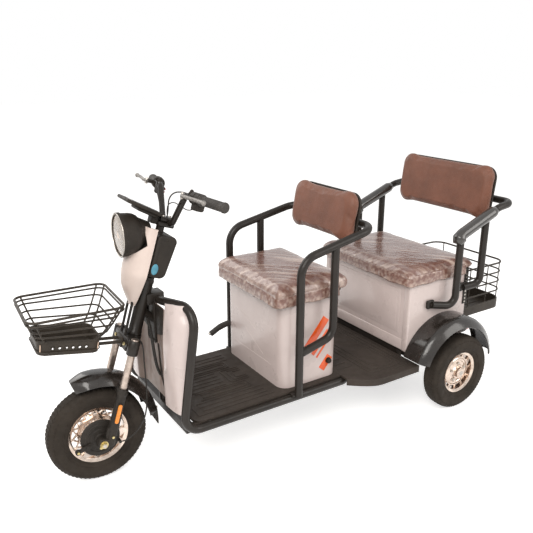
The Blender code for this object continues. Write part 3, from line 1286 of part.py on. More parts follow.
def rear_axle():
    """Axle tube with its gear housing, and the motor beside the housing."""
    x = behind(WHEELBASE)
    axle = cylinder("rear_axle", (x, -REAR_AXLE_HALF_LENGTH, REAR_TYRE_R),
                    (x, REAR_AXLE_HALF_LENGTH, REAR_TYRE_R), REAR_AXLE_R, "black_paint")
    housing = box("gear_housing", (behind(WHEELBASE + GEAR_HOUSING_BACK), -GEAR_HALF_WIDTH,
                                   REAR_TYRE_R - GEAR_HOUSING_DOWN),
                  (behind(WHEELBASE - GEAR_HOUSING_FRONT), GEAR_HALF_WIDTH,
                   REAR_TYRE_R + GEAR_HOUSING_UP), "black_paint", 0.020)
    join(axle, [housing])
    motor_x = behind(WHEELBASE + REAR_AXLE_R + MOTOR_R + 0.004)
    motor_z = REAR_TYRE_R + MOTOR_RISE
    cylinder("rear_motor", (motor_x, GEAR_HALF_WIDTH + SEAM, motor_z),
             (motor_x, GEAR_HALF_WIDTH + SEAM + MOTOR_LENGTH, motor_z), MOTOR_R,
             "black_paint", 28)


def leaf_springs():
    low = REAR_TYRE_R + REAR_AXLE_R + SEAM
    end_top = BENCH_BOTTOM - SEAM - RAIL_SECTION - HANGER_DROP - SEAM
    rise = end_top - SPRING_THICKNESS - low
    for side, sign in SIDES:
        def place(u, v, sign=sign):
            along = (v - 0.5) * 2.0
            return Vector((behind(WHEELBASE + along * SPRING_HALF_LENGTH * 1.06),
                           sign * REAR_RAIL_Y + (u - 0.5) * SPRING_WIDTH,
                           low + rise * min(1.0, abs(along) * 1.06) ** 2))
        sheet("leaf_spring_" + side, 1, 12, place, SPRING_THICKNESS, "black_paint", 1.0)


def rear_basket():
    """Wire basket behind the bench: rings over a sheet tray, with uprights between them."""
    front = BENCH_REAR_BEHIND + RIM_WIRE_R + SEAM
    half_length = (REAR_BASKET_REAR_BEHIND - front) / 2.0
    centre_x = behind(front + half_length)

    def ring(z):
        return rounded_loop(half_length, REAR_BASKET_HALF_WIDTH, 0.055, (centre_x, 0.0, z))
    rim_ring = tube("rear_basket", ring(REAR_BASKET_RIM_Z), RIM_WIRE_R, "black_paint", 0, True)
    pitch = (REAR_BASKET_RIM_Z - REAR_BASKET_TRAY_Z) / REAR_BASKET_RINGS
    parts = []
    for number in range(1, REAR_BASKET_RINGS):
        parts.append(tube("rear_ring_%d" % number, ring(REAR_BASKET_RIM_Z - pitch * number),
                          WIRE_R, "black_paint", 0, True))
    for number, spot in enumerate(BASKET_UPRIGHTS):
        top = ring(REAR_BASKET_RIM_Z)[spot]
        parts.append(tube("rear_upright_%d" % number,
                          [top, (top.x, top.y, REAR_BASKET_TRAY_Z)], WIRE_R, "black_paint", 0))
    reach = half_length + WIRE_R
    wide = REAR_BASKET_HALF_WIDTH + WIRE_R
    tray = box("rear_tray", (centre_x - reach, -wide, REAR_BASKET_TRAY_Z - REAR_TRAY_DEPTH),
               (centre_x + reach, wide, REAR_BASKET_TRAY_Z + WIRE_R), "black_paint",
               0.055, 2, 3)
    inside = box("rear_tray_inside",
                 (centre_x - reach + TRAY_WALL, -wide + TRAY_WALL,
                  REAR_BASKET_TRAY_Z - REAR_TRAY_DEPTH + TRAY_WALL),
                 (centre_x + reach - TRAY_WALL, wide - TRAY_WALL, REAR_BASKET_TRAY_Z + 0.05),
                 "black_paint", 0.055 - TRAY_WALL, 2, 3)
    cut(tray, [inside])
    join(rim_ring, parts + [tray])


def tail_lamps():
    z = BENCH_BOTTOM - SEAM - RAIL_SECTION / 2.0
    start = REAR_RAIL_END_BEHIND + SEAM
    for side, sign in SIDES:
        y = sign * TAIL_LAMP_Y
        cylinder("tail_lamp_" + side, (behind(start + TAIL_LAMP_LENGTH), y, z),
                 (behind(start), y, z), TAIL_LAMP_R, "red_lens", 24, TAIL_LAMP_R * 0.8)


def build():
    side_tubes()
    head_frame()
    underframe()
    floors()
    leg_shield()
    driver_box()
    driver_rail()
    backrest("driver", DRIVER_BACK_FACE_BEHIND, DRIVER_BACK_Z, DRIVER_BACK_HALF_WIDTH,
             DRIVER_BACK_HEIGHT, DRIVER_BACK_LEAN, DRIVER_RAIL_CORNER_BEHIND,
             DRIVER_RAIL_CORNER_Z)
    parking_lever()
    bench_box()
    bench_rail()
    arm_pads()
    backrest("bench", BENCH_BACK_FACE_BEHIND, BENCH_BACK_Z, BENCH_BACK_HALF_WIDTH,
             BENCH_BACK_HEIGHT, BENCH_BACK_LEAN, BENCH_RAIL_BEHIND, BENCH_RAIL_Z)
    rear_fenders()
    rear_axle()
    leaf_springs()
    rear_basket()
    tail_lamps()
    seat_lid("driver", DRIVER_BOX_FRONT_BEHIND - LID_OVERHANG,
             DRIVER_BOX_REAR_BEHIND + LID_OVERHANG, DRIVER_BOX_HALF_WIDTH + LID_OVERHANG,
             DRIVER_BOX_TOP,
             (DRIVER_CUSHION_FRONT_BEHIND, DRIVER_CUSHION_REAR_BEHIND,
              DRIVER_CUSHION_HALF_WIDTH, DRIVER_CUSHION_THICKNESS),
             DRIVER_BOX_FRONT_BEHIND - LID_OVERHANG)
    seat_lid("bench", BENCH_FRONT_BEHIND - LID_OVERHANG, BENCH_REAR_BEHIND + LID_OVERHANG,
             BENCH_HALF_WIDTH + LID_OVERHANG, BENCH_TOP,
             (BENCH_CUSHION_FRONT_BEHIND, BENCH_CUSHION_REAR_BEHIND,
              BENCH_CUSHION_HALF_WIDTH, BENCH_CUSHION_THICKNESS),
             BENCH_FRONT_BEHIND - LID_OVERHANG)
    steering = pivot("steering_axis", fork_matrix())
    fork_crown(steering)
    fork_legs(steering)
    front_axle(steering)
    handlebar(steering)
    grips(steering)
    hand_controls(steering)
    instrument_panel(steering)
    steering_shroud(steering)
    column_cover(steering)
    headlamp(steering)
    front_fender(steering)
    front_basket(steering)
    front_wheel(steering)
    rear_wheels()
    steering.matrix_world = fork_matrix() @ Matrix.Rotation(STEERING_REST, 4, "Z")


build()
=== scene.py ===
"""Looks for a three-wheel passenger buggy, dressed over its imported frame.

Metres, +X forward, +Y to the vehicle's left, +Z up, as in the frame. Lengths called
behind are measured back from the front axle.
"""
import bpy
from math import cos, pi, radians, sin, tan
from mathutils import Matrix, Vector, noise


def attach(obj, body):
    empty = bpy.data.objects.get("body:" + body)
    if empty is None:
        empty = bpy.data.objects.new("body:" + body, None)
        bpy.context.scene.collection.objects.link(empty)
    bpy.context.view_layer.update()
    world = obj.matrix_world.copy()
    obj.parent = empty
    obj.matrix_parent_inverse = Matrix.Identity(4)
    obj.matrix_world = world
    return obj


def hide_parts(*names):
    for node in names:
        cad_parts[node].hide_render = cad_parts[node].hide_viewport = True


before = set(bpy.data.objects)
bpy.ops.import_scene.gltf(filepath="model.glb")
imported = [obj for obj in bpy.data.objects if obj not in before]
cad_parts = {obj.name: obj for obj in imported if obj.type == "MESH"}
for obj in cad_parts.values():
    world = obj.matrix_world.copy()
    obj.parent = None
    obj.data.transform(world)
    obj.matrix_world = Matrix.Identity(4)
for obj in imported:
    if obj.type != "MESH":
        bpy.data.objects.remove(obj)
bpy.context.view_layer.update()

ORIGIN = (0.0, 0.0, 0.0)
FORWARD = (1.0, 0.0, 0.0)
LEFTWARD = (0.0, 1.0, 0.0)
UPWARD = (0.0, 0.0, 1.0)
SIDES = (("left", 1), ("right", -1))

# Sizes that the frame shares between its nodes
FRONT_AXLE_X = 0.88675
WHEELBASE = 1.512
RAKE = radians(18.0)
REST_TURN = radians(-4.0)
FRONT_WHEEL_R = 0.183
REAR_WHEEL_R = 0.1695
REAR_HUB_Y = 0.366
AXLE_AHEAD = 0.051  # of the steering line
LEG_AHEAD = 0.025  # of the steering line
LEG_Y = 0.086
TUBE = 0.016
SIDE_TUBE_Y = 0.248
SIDE_TUBE_Z = 0.224
SIDE_TUBE_BEND_Z = 0.69
DRIVER_RAIL_Y = 0.266
DRIVER_RAIL_Z = 0.79
DRIVER_BACK_Z = 0.866
DRIVER_BOX_Y = 0.217
DRIVER_BOX_FOOT_Z = 0.2493
DRIVER_BOX_TOP_Z = 0.617
ARM_Y = 0.326
ARM_FOOT_Y = 0.3036
ARM_Z = 0.78
BENCH_Y = 0.287
BENCH_FOOT_Z = 0.279
BENCH_TOP_Z = 0.597
SHIELD_FOOT_Z = 0.287
SHIELD_RISE = 0.365
COVER_FOOT_Z = 0.6205
LAMP_DEPTH = 0.078
PARKING_LEVER_Y = -0.2335

# The photograph's camera
CAMERA_PLACE = (1.46835, 2.0568, 1.5036)
CAMERA_AIM = (0.06835, -0.1111, 0.6489)
CAMERA_LENS = 42.966
SENSOR_WIDTH = 36.0


def behind(distance):
    return FRONT_AXLE_X - distance


def aft(distance, y, z):
    """A place that is measured back from the front axle."""
    return (behind(distance), y, z)


FRONT_HUB = Vector((FRONT_AXLE_X, 0.0, FRONT_WHEEL_R))
AHEAD = Vector((cos(RAKE), 0.0, sin(RAKE)))
STEM = Vector((-sin(RAKE), 0.0, cos(RAKE)))
FOOT = FRONT_HUB - AHEAD * AXLE_AHEAD
STRAIGHT = Matrix.Translation(FOOT) @ Matrix((AHEAD, LEFTWARD, STEM)).transposed().to_4x4()
FORK = STRAIGHT @ Matrix.Rotation(REST_TURN, 4, "Z")
TURNED = FORK @ STRAIGHT.inverted()


def fork(ahead, side, up):
    """A place on the steered fork, at its rest angle."""
    return FORK @ Vector((ahead, side, up))


# Camera, light and floor
def set_up_camera():
    bpy.ops.object.camera_add(location=CAMERA_PLACE)
    camera = bpy.context.object
    aim = Vector(CAMERA_AIM) - camera.location
    camera.rotation_euler = aim.to_track_quat("-Z", "Y").to_euler()
    camera.data.sensor_width = SENSOR_WIDTH
    camera.data.lens = CAMERA_LENS
    bpy.context.scene.camera = camera


def node(tree, kind, sockets=None, **settings):
    """Add a shader node, set it, and link or fill its inputs."""
    made = tree.nodes.new(kind)
    for key, value in settings.items():
        setattr(made, key, value)
    for key, value in (sockets or {}).items():
        if isinstance(value, bpy.types.NodeSocket):
            tree.links.new(value, made.inputs[key])
        else:
            made.inputs[key].default_value = value
    return made


def bright_rays(tree):
    """One where a camera, mirror or glass ray looks."""
    path = node(tree, "ShaderNodeLightPath")
    first = node(tree, "ShaderNodeMath", {0: path.outputs["Is Camera Ray"],
                                          1: path.outputs["Is Glossy Ray"]},
                 operation="MAXIMUM")
    both = node(tree, "ShaderNodeMath", {0: first.outputs[0],
                                         1: path.outputs["Is Transmission Ray"]},
                operation="MAXIMUM")
    return both.outputs[0]


def light_the_room():
    scene = bpy.context.scene
    scene.view_settings.view_transform = "Standard"
    world = bpy.data.worlds.new("studio")
    scene.world = world
    world.use_nodes = True
    tree = world.node_tree
    tree.nodes.clear()
    soft = node(tree, "ShaderNodeBackground", {"Color": (1.0, 0.97, 0.94, 1.0), "Strength": 0.5})
    white = node(tree, "ShaderNodeBackground", {"Color": (1.0, 1.0, 1.0, 1.0), "Strength": 1.0})
    mixed = node(tree, "ShaderNodeMixShader", {0: bright_rays(tree), 1: soft.outputs[0],
                                               2: white.outputs[0]})
    node(tree, "ShaderNodeOutputWorld", {"Surface": mixed.outputs[0]})
    # columns: place, size, watts
    for place, size, watts in (((2.6, 2.4, 3.4), 2.6, 150.0), ((-2.4, 3.2, 2.6), 2.4, 60.0),
                               ((1.5, -2.8, 2.8), 2.4, 45.0)):
        bpy.ops.object.light_add(type="AREA", location=place)
        lamp = bpy.context.object
        lamp.data.size = size
        lamp.data.energy = watts
        lamp.data.color = (1.0, 0.97, 0.93)
        lamp.rotation_euler = (Vector((0.0, 0.0, 0.4)) - lamp.location).to_track_quat(
            "-Z", "Y").to_euler()


def lay_the_floor():
    bpy.ops.mesh.primitive_plane_add(size=40.0, location=(0.0, 0.0, -0.0008))
    floor = bpy.context.object
    floor.name = "studio_floor"
    look = bpy.data.materials.new("floor_paper")
    look.use_nodes = True
    tree = look.node_tree
    tree.nodes.clear()
    paper = node(tree, "ShaderNodeBsdfDiffuse", {"Color": (0.86, 0.86, 0.86, 1.0)})
    glow = node(tree, "ShaderNodeEmission", {"Color": (1.0, 1.0, 1.0, 1.0), "Strength": 0.62})
    film_haze_and_highlight = node(tree, "ShaderNodeAddShader", {0: paper.outputs[0], 1: glow.outputs[0]})
    mixed = node(tree, "ShaderNodeMixShader", {0: bright_rays(tree), 1: paper.outputs[0],
                                               2: film_haze_and_highlight.outputs[0]})
    node(tree, "ShaderNodeOutputMaterial", {"Surface": mixed.outputs[0]})
    floor.data.materials.append(look)


# Finishes
def relief(tree, spots, bumps):
    """Stacked bumps; each is (texture, scale, strength, depth)."""
    normal = None
    for kind, scale, strength, depth in bumps:
        if kind == "cells":
            texture = node(tree, "ShaderNodeTexVoronoi", {"Vector": spots, "Scale": scale})
            height = texture.outputs["Distance"]
        elif kind == "weave":
            texture = node(tree, "ShaderNodeTexWave", {"Vector": spots, "Scale": scale,
                                                       "Distortion": 2.0})
            height = texture.outputs["Fac"]
        else:
            texture = node(tree, "ShaderNodeTexNoise", {"Vector": spots, "Scale": scale,
                                                        "Detail": 4.0})
            height = texture.outputs["Fac"]
        sockets = {"Height": height, "Strength": strength, "Distance": depth}
        if normal is not None:
            sockets["Normal"] = normal
        normal = node(tree, "ShaderNodeBump", sockets).outputs["Normal"]
    return normal


def finish(name, dark, light, rough, scale=7.0, metallic=0.0, coat=0.0, bumps=(), spread=0.22,
           sheen=0.0, clear=0.0, shine=0.5):
    """Two tones in soft patches, an uneven gloss and a fine relief."""
    look = bpy.data.materials.new(name)
    look.use_nodes = True
    tree = look.node_tree
    shader = tree.nodes["Principled BSDF"]
    spots = node(tree, "ShaderNodeTexCoord").outputs["Object"]
    patches = node(tree, "ShaderNodeTexNoise", {"Vector": spots, "Scale": scale, "Detail": 7.0,
                                                "Roughness": 0.62})
    tones = node(tree, "ShaderNodeValToRGB", {"Fac": patches.outputs["Fac"]})
    ends = tones.color_ramp.elements
    ends[0].position = 0.5 - spread
    ends[0].color = (*dark, 1.0)
    ends[1].position = 0.5 + spread
    ends[1].color = (*light, 1.0)
    tree.links.new(tones.outputs["Color"], shader.inputs["Base Color"])
    wear = node(tree, "ShaderNodeTexNoise", {"Vector": spots, "Scale": scale * 5.3,
                                             "Detail": 3.0})
    gloss = node(tree, "ShaderNodeMapRange", {"Value": wear.outputs["Fac"], "From Min": 0.3,
                                              "From Max": 0.7, "To Min": rough[0],
                                              "To Max": rough[1]})
    tree.links.new(gloss.outputs["Result"], shader.inputs["Roughness"])
    shader.inputs["Metallic"].default_value = metallic
    shader.inputs["Specular IOR Level"].default_value = shine
    shader.inputs["Coat Weight"].default_value = coat
    shader.inputs["Coat Roughness"].default_value = 0.12
    shader.inputs["Sheen Weight"].default_value = sheen
    shader.inputs["Transmission Weight"].default_value = clear
    normal = relief(tree, spots, bumps)
    if normal is not None:
        tree.links.new(normal, shader.inputs["Normal"])
    return look


FRAME_BLACK = finish("frame_black", (0.0125, 0.01, 0.008), (0.024, 0.019, 0.0155),
                     (0.3, 0.46), 9.0, coat=0.1, bumps=(("noise", 160.0, 0.05, 0.002),), shine=0.24)
FLOOR_BLACK = finish("floor_black", (0.028, 0.022, 0.018), (0.056, 0.044, 0.036),
                     (0.55, 0.78), 5.0, bumps=(("noise", 220.0, 0.25, 0.002),), shine=0.26)
BASKET_BLACK = finish("basket_black", (0.026, 0.021, 0.016), (0.048, 0.038, 0.029),
                      (0.38, 0.55), 14.0, bumps=(("noise", 300.0, 0.08, 0.001),), shine=0.24)
GLOSS_BLACK = finish("fender_black", (0.012, 0.01, 0.0085), (0.026, 0.0205, 0.017),
                     (0.16, 0.34), 6.0, coat=0.5, bumps=(("noise", 30.0, 0.1, 0.004),), shine=0.34)
DULL_BLACK = finish("moulded_black", (0.015, 0.0122, 0.0098), (0.03, 0.024, 0.0192),
                    (0.42, 0.62), 12.0, bumps=(("noise", 420.0, 0.2, 0.001),), shine=0.22)
CASTING_BLACK = finish("casting_black", (0.016, 0.0135, 0.011), (0.034, 0.028, 0.023),
                       (0.45, 0.65), 24.0, bumps=(("noise", 260.0, 0.35, 0.0015),), shine=0.24)
RUBBER = finish("tyre_rubber", (0.019, 0.0148, 0.0112), (0.04, 0.0312, 0.024),
                (0.7, 0.88), 10.0, bumps=(("noise", 380.0, 0.3, 0.0012),), shine=0.24)
GRIP_RUBBER = finish("grip_rubber", (0.02, 0.0175, 0.0155), (0.04, 0.034, 0.029),
                     (0.55, 0.75), 30.0, bumps=(("cells", 420.0, 0.25, 0.001),))
FILMED_WHITE = finish("filmed_white", (0.52, 0.435, 0.415), (0.68, 0.585, 0.56),
                      (0.22, 0.46), 3.2, coat=0.35, spread=0.3,
                      bumps=(("noise", 9.0, 0.35, 0.006), ("noise", 60.0, 0.1, 0.002)))
SHROUD_WHITE = finish("shroud_white", (0.53, 0.435, 0.39), (0.68, 0.57, 0.515),
                      (0.28, 0.44), 6.0, coat=0.25, bumps=(("noise", 24.0, 0.1, 0.003),))
# the shield's white plastic in its centre recess, painted darker as painted shade
RECESS_PAINTED_SHADE = finish("recess_white_painted_shade", (0.205, 0.15, 0.128), (0.33, 0.255, 0.222),
                     (0.4, 0.6), 10.0, bumps=(("noise", 40.0, 0.15, 0.003),))
LEATHERETTE = finish("leatherette", (0.122, 0.042, 0.021), (0.188, 0.068, 0.037),
                     (0.46, 0.62), 10.0, sheen=0.12,
                     bumps=(("cells", 340.0, 0.45, 0.0012), ("noise", 26.0, 0.18, 0.004)))
CHROME = finish("cast_chrome", (0.44, 0.345, 0.285), (0.8, 0.68, 0.59), (0.1, 0.28), 40.0,
                metallic=1.0, bumps=(("noise", 160.0, 0.1, 0.001),))
SILVER = finish("filmed_silver", (0.34, 0.275, 0.235), (0.56, 0.47, 0.41), (0.26, 0.44), 60.0,
                metallic=0.85, bumps=(("noise", 90.0, 0.2, 0.0015),))
STEEL = finish("plain_steel", (0.34, 0.31, 0.28), (0.56, 0.52, 0.47), (0.28, 0.45), 50.0,
               metallic=1.0, bumps=(("noise", 300.0, 0.15, 0.001),))
ZINC = finish("yellow_zinc", (0.42, 0.33, 0.14), (0.66, 0.56, 0.3), (0.25, 0.42), 80.0,
              metallic=1.0, bumps=(("noise", 300.0, 0.12, 0.001),))
ALLOY = finish("grey_casting", (0.16, 0.15, 0.14), (0.3, 0.28, 0.26), (0.42, 0.6), 30.0,
               metallic=0.7, bumps=(("noise", 240.0, 0.3, 0.0015),))
LENS = finish("frosted_lens", (0.3, 0.235, 0.18), (0.66, 0.56, 0.465), (0.08, 0.24), 46.0,
              coat=0.6, clear=0.45, bumps=(("cells", 60.0, 0.35, 0.003),))
SCREEN = finish("dark_screen", (0.01, 0.012, 0.014), (0.02, 0.023, 0.026), (0.06, 0.14),
                20.0, coat=0.8)
RED_LENS = finish("red_lens", (0.34, 0.01, 0.008), (0.52, 0.022, 0.016), (0.12, 0.24), 30.0,
                  coat=0.6, clear=0.15, bumps=(("cells", 130.0, 0.3, 0.002),))
AMBER = finish("amber_reflector", (0.72, 0.2, 0.003), (0.86, 0.3, 0.008), (0.16, 0.28), 60.0,
               coat=0.5, bumps=(("cells", 520.0, 0.3, 0.001),))
ORANGE = finish("orange_vinyl", (0.72, 0.075, 0.006), (0.86, 0.125, 0.012), (0.26, 0.42), 16.0,
                coat=0.3, bumps=(("noise", 30.0, 0.12, 0.002),))
BLUE = finish("blue_plastic", (0.045, 0.185, 0.27), (0.085, 0.3, 0.4), (0.3, 0.46), 60.0,
              bumps=(("noise", 120.0, 0.15, 0.001),))
RED = finish("red_button", (0.3, 0.01, 0.008), (0.42, 0.02, 0.014), (0.25, 0.4), 40.0)
GRIP_GLOSS = finish("arm_pad_vinyl", (0.018, 0.0155, 0.0135), (0.036, 0.031, 0.027),
                    (0.14, 0.3), 18.0, coat=0.6, bumps=(("noise", 60.0, 0.15, 0.003),))
# beige: the arm pads' real lining, and also painted highlight strips on the front basket's tray corners
BEIGE = finish("beige_trim_and_painted_highlight", (0.62, 0.44, 0.33), (0.76, 0.58, 0.46), (0.35, 0.52), 14.0,
               bumps=(("noise", 80.0, 0.12, 0.002),))


def wrap_film():
    """Brown leatherette under crumpled clear wrap: pale where the wrap stands off, with pale streaks of
    painted highlight along its creases.
    """
    look = finish("wrapped_leatherette", (0.14, 0.062, 0.046), (0.205, 0.105, 0.082),
                  (0.2, 0.38), 12.0, coat=0.6,
                  bumps=(("noise", 70.0, 0.35, 0.003), ("noise", 240.0, 0.25, 0.001)))
    tree = look.node_tree
    shader = tree.nodes["Principled BSDF"]
    brown = shader.inputs["Base Color"].links[0].from_socket
    haze_and_highlight_share = node(tree, "ShaderNodeAttribute", attribute_name="film_haze_and_highlight").outputs["Fac"]
    # the pale wrap colour mixed in here is partly the wrap's own haze, partly painted highlight along its
    # creases and crumples
    pale = node(tree, "ShaderNodeMix", {0: haze_and_highlight_share, 6: brown, 7: (0.5, 0.375, 0.315, 1.0)},
                data_type="RGBA")
    tree.links.new(pale.outputs[2], shader.inputs["Base Color"])
    return look


WRAPPED = wrap_film()
CABLE_BLACK = finish("cable_sheath", (0.016, 0.014, 0.0125), (0.028, 0.0245, 0.021),
                     (0.34, 0.52), 60.0, bumps=(("noise", 500.0, 0.15, 0.0006),), shine=0.25)


# Making pieces
def deselect():
    if bpy.context.mode != "OBJECT":
        bpy.ops.object.mode_set(mode="OBJECT")
    bpy.ops.object.select_all(action="DESELECT")


def pick(obj):
    deselect()
    obj.select_set(True)
    bpy.context.view_layer.objects.active = obj
    return obj


def settle():
    """Put the active object's place, turn and size in its mesh."""
    bpy.ops.object.transform_apply(location=True, rotation=True, scale=True)


def open_mesh(obj):
    """Go into edit mode with the whole mesh selected."""
    pick(obj)
    bpy.ops.object.mode_set(mode="EDIT")
    bpy.ops.mesh.select_all(action="SELECT")


def close_mesh():
    bpy.ops.mesh.select_mode(type="VERT")
    bpy.ops.object.mode_set(mode="OBJECT")


def choose(obj, kind, wanted):
    """Go into edit mode with only those faces or edges selected that wanted is true for."""
    pick(obj)
    bpy.ops.object.mode_set(mode="EDIT")
    bpy.ops.mesh.select_mode(type=kind)
    bpy.ops.mesh.select_all(action="DESELECT")
    bpy.ops.object.mode_set(mode="OBJECT")
    for item in obj.data.polygons if kind == "FACE" else obj.data.edges:
        item.select = wanted(item)
    bpy.ops.object.mode_set(mode="EDIT")


def drop_faces(obj, wanted):
    choose(obj, "FACE", wanted)
    bpy.ops.mesh.delete(type="FACE")
    close_mesh()


def round_edges(obj, wanted, radius, segments):
    """Round the edges that wanted(start, end) is true for."""
    choose(obj, "EDGE", lambda edge: wanted(*(obj.data.vertices[i].co for i in edge.vertices)))
    bpy.ops.mesh.bevel(offset=radius, segments=segments, affect="EDGES")
    close_mesh()
    return obj


def joined(parts):
    pick(parts[0])
    for part in parts[1:]:
        part.select_set(True)
    if len(parts) > 1:
        bpy.ops.object.join()
    return bpy.context.object


def change(obj, kind, **settings):
    """Add a modifier and apply it."""
    pick(obj)
    modifier = obj.modifiers.new(kind.lower(), kind)
    for key, value in settings.items():
        setattr(modifier, key, value)
    bpy.ops.object.modifier_apply(modifier=modifier.name)
    return obj


def ease(obj, width, segments=2):
    """Bevel the sharp edges only."""
    return change(obj, "BEVEL", width=width, segments=segments, limit_method="ANGLE",
                  angle_limit=radians(50.0))


def dress(obj, look, smooth=38.0):
    """Put the object's place in its mesh, paint it and shade it."""
    pick(obj)
    settle()
    obj.data.materials.clear()
    obj.data.materials.append(look)
    bpy.ops.object.shade_smooth_by_angle(angle=radians(smooth))
    return obj


def cube(low, high):
    low, high = Vector(low), Vector(high)
    bpy.ops.mesh.primitive_cube_add(size=1.0, location=(low + high) / 2.0)
    obj = bpy.context.object
    obj.scale = high - low
    settle()
    return obj


def block(low, high, look, edge=0.0, segments=2):
    obj = cube(low, high)
    if edge:
        change(obj, "BEVEL", width=edge, segments=segments, limit_method="ANGLE")
    return dress(obj, look)


def side_block(sign, low, high, look, edge=0.0, segments=2):
    """A block laid out on the left, or mirrored to the right where sign is -1."""
    near, far = sorted((low[1] * sign, high[1] * sign))
    return block((low[0], near, low[2]), (high[0], far, high[2]), look, edge, segments)


def plank(start, end, wide, deep, deep_way, look, edge=0.0):
    """A bar from start to end, deep along deep_way and wide across it."""
    start, end = Vector(start), Vector(end)
    along = (end - start).normalized()
    across = Vector(deep_way).cross(along).normalized()
    down = along.cross(across)
    bpy.ops.mesh.primitive_cube_add(size=1.0)
    obj = bpy.context.object
    turn = Matrix((along, across, down)).transposed().to_4x4()
    size = Matrix.Diagonal(((end - start).length, wide, deep, 1.0))
    obj.matrix_world = Matrix.Translation((start + end) / 2.0) @ turn @ size
    settle()
    if edge:
        change(obj, "BEVEL", width=edge, segments=2, limit_method="ANGLE")
    return dress(obj, look)


def rod(start, end, radius, look, sides=24, end_radius=None, edge=0.0):
    start, end = Vector(start), Vector(end)
    along = end - start
    bpy.ops.mesh.primitive_cone_add(
        vertices=sides, radius1=radius, radius2=radius if end_radius is None else end_radius,
        depth=along.length, location=(start + end) / 2.0,
        rotation=along.to_track_quat("Z", "Y").to_euler())
    obj = bpy.context.object
    if edge:
        settle()
        ease(obj, edge)
    return dress(obj, look)


def ball(centre, size, look, segments=24):
    """A ball or, with three sizes, an egg."""
    bpy.ops.mesh.primitive_uv_sphere_add(segments=segments, ring_count=segments // 2,
                                         radius=1.0, location=centre)
    obj = bpy.context.object
    obj.scale = (size, size, size) if isinstance(size, float) else size
    return dress(obj, look)


def bent(points, radii, steps=9):
    """The points of a bent tube: each inner corner becomes an arc of its own radius."""
    points = [Vector(p) for p in points]
    path = [points[0]]
    for before, corner, after, radius in zip(points, points[1:], points[2:], radii):
        to_before = (before - corner).normalized()
        to_after = (after - corner).normalized()
        half_turn = to_before.angle(to_after) / 2.0
        middle = corner + (to_before + to_after).normalized() * (radius / sin(half_turn))
        first = corner + to_before * (radius / tan(half_turn)) - middle
        last = corner + to_after * (radius / tan(half_turn)) - middle
        sweep = first.angle(last)
        for i in range(steps + 1):
            share = i / steps
            path.append(middle + (first * sin((1.0 - share) * sweep)
                                  + last * sin(share * sweep)) / sin(sweep))
    path.append(points[-1])
    return path


def smooth_line(points, per_span=8):
    """A soft curve through points, for cables."""
    points = [Vector(p) for p in points]
    whole = [points[0] * 2.0 - points[1], *points, points[-1] * 2.0 - points[-2]]
    line = []
    for a, b, c, d in zip(whole, whole[1:], whole[2:], whole[3:]):
        for i in range(per_span):
            t = i / per_span
            line.append(0.5 * ((b * 2.0) + (c - a) * t + (a * 2.0 - b * 5.0 + c * 4.0 - d) * t * t
                               + (b * 3.0 - a - c * 3.0 + d) * t * t * t))
    return line + [points[-1]]


def pipe(points, radius, look, sides=16, closed=False):
    """A round tube along points."""
    bpy.ops.curve.primitive_bezier_curve_add(location=ORIGIN)
    obj = bpy.context.object
    curve = obj.data
    curve.splines.clear()
    line = curve.splines.new("POLY")
    line.points.add(len(points) - 1)
    for spot, point in zip(line.points, points):
        spot.co = (*point, 1.0)
    line.use_cyclic_u = closed
    curve.dimensions = "3D"
    curve.bevel_depth = radius
    curve.bevel_resolution = (sides - 4) // 2
    curve.use_fill_caps = not closed
    bpy.ops.object.convert(target="MESH")
    obj = bpy.context.object
    return dress(obj, look)


def turned(profile, at, along, look, steps=48, smooth=38.0):
    """Spin a profile of (radius, along) points about a line through at."""
    loop = list(profile)
    bpy.ops.mesh.primitive_plane_add(size=0.001, location=(loop[0][0], 0.0, loop[0][1]))
    obj = bpy.context.object
    settle()
    open_mesh(obj)
    bpy.ops.mesh.merge(type="CENTER")
    for here, there in zip(loop, loop[1:]):
        step = (there[0] - here[0], 0.0, there[1] - here[1])
        bpy.ops.mesh.extrude_vertices_move(TRANSFORM_OT_translate={"value": step})
    bpy.ops.mesh.select_all(action="SELECT")
    bpy.ops.mesh.spin(steps=steps, angle=2.0 * pi, center=ORIGIN, axis=UPWARD)
    bpy.ops.mesh.select_all(action="SELECT")
    bpy.ops.mesh.remove_doubles(threshold=0.00002)
    bpy.ops.mesh.normals_make_consistent(inside=False)
    bpy.ops.object.mode_set(mode="OBJECT")
    turn = Vector(along).to_track_quat("Z", "Y").to_matrix().to_4x4()
    obj.data.transform(Matrix.Translation(at) @ turn)
    return dress(obj, look, smooth)


def around(obj, count, centre, axis):
    """Copy what is in a mesh round an axis until it is there count times."""
    open_mesh(obj)
    bpy.ops.mesh.spin(steps=count - 1, angle=2.0 * pi * (count - 1) / count, dupli=True,
                      center=centre, axis=axis)
    bpy.ops.object.mode_set(mode="OBJECT")
    return obj


def skin(columns, rows, place, look, thickness=0.0, flip=False, smooth=50.0):
    """A sheet of columns by rows faces laid by place(u, v), with its wall inwards."""
    bpy.ops.mesh.primitive_grid_add(x_subdivisions=columns, y_subdivisions=rows, size=1.0)
    obj = bpy.context.object
    for vertex in obj.data.vertices:
        vertex.co = place(vertex.co.x + 0.5, vertex.co.y + 0.5)
    if flip:
        open_mesh(obj)
        bpy.ops.mesh.flip_normals()
        bpy.ops.object.mode_set(mode="OBJECT")
    if thickness:
        change(obj, "SOLIDIFY", thickness=thickness, offset=-1.0)
    return dress(obj, look, smooth)


def moved(matrix, *parts):
    for part in parts:
        part.data.transform(matrix)
    return list(parts)


def piece(name, body, parts, stands_for=()):
    """Join parts into one piece that rides on a body."""
    obj = joined(list(parts))
    obj.name = name
    obj.data.name = name
    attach(obj, body)
    if stands_for:
        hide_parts(*stands_for)
    return obj


def hexagon(start, end, radius, look=None):
    """A nut or a bolt's head between two places."""
    return rod(start, end, radius, look or ZINC, 6, edge=radius * 0.09)


# Frame
def frame_tube(points, bends):
    return pipe(bent(points, bends), TUBE, FRAME_BLACK, 24)


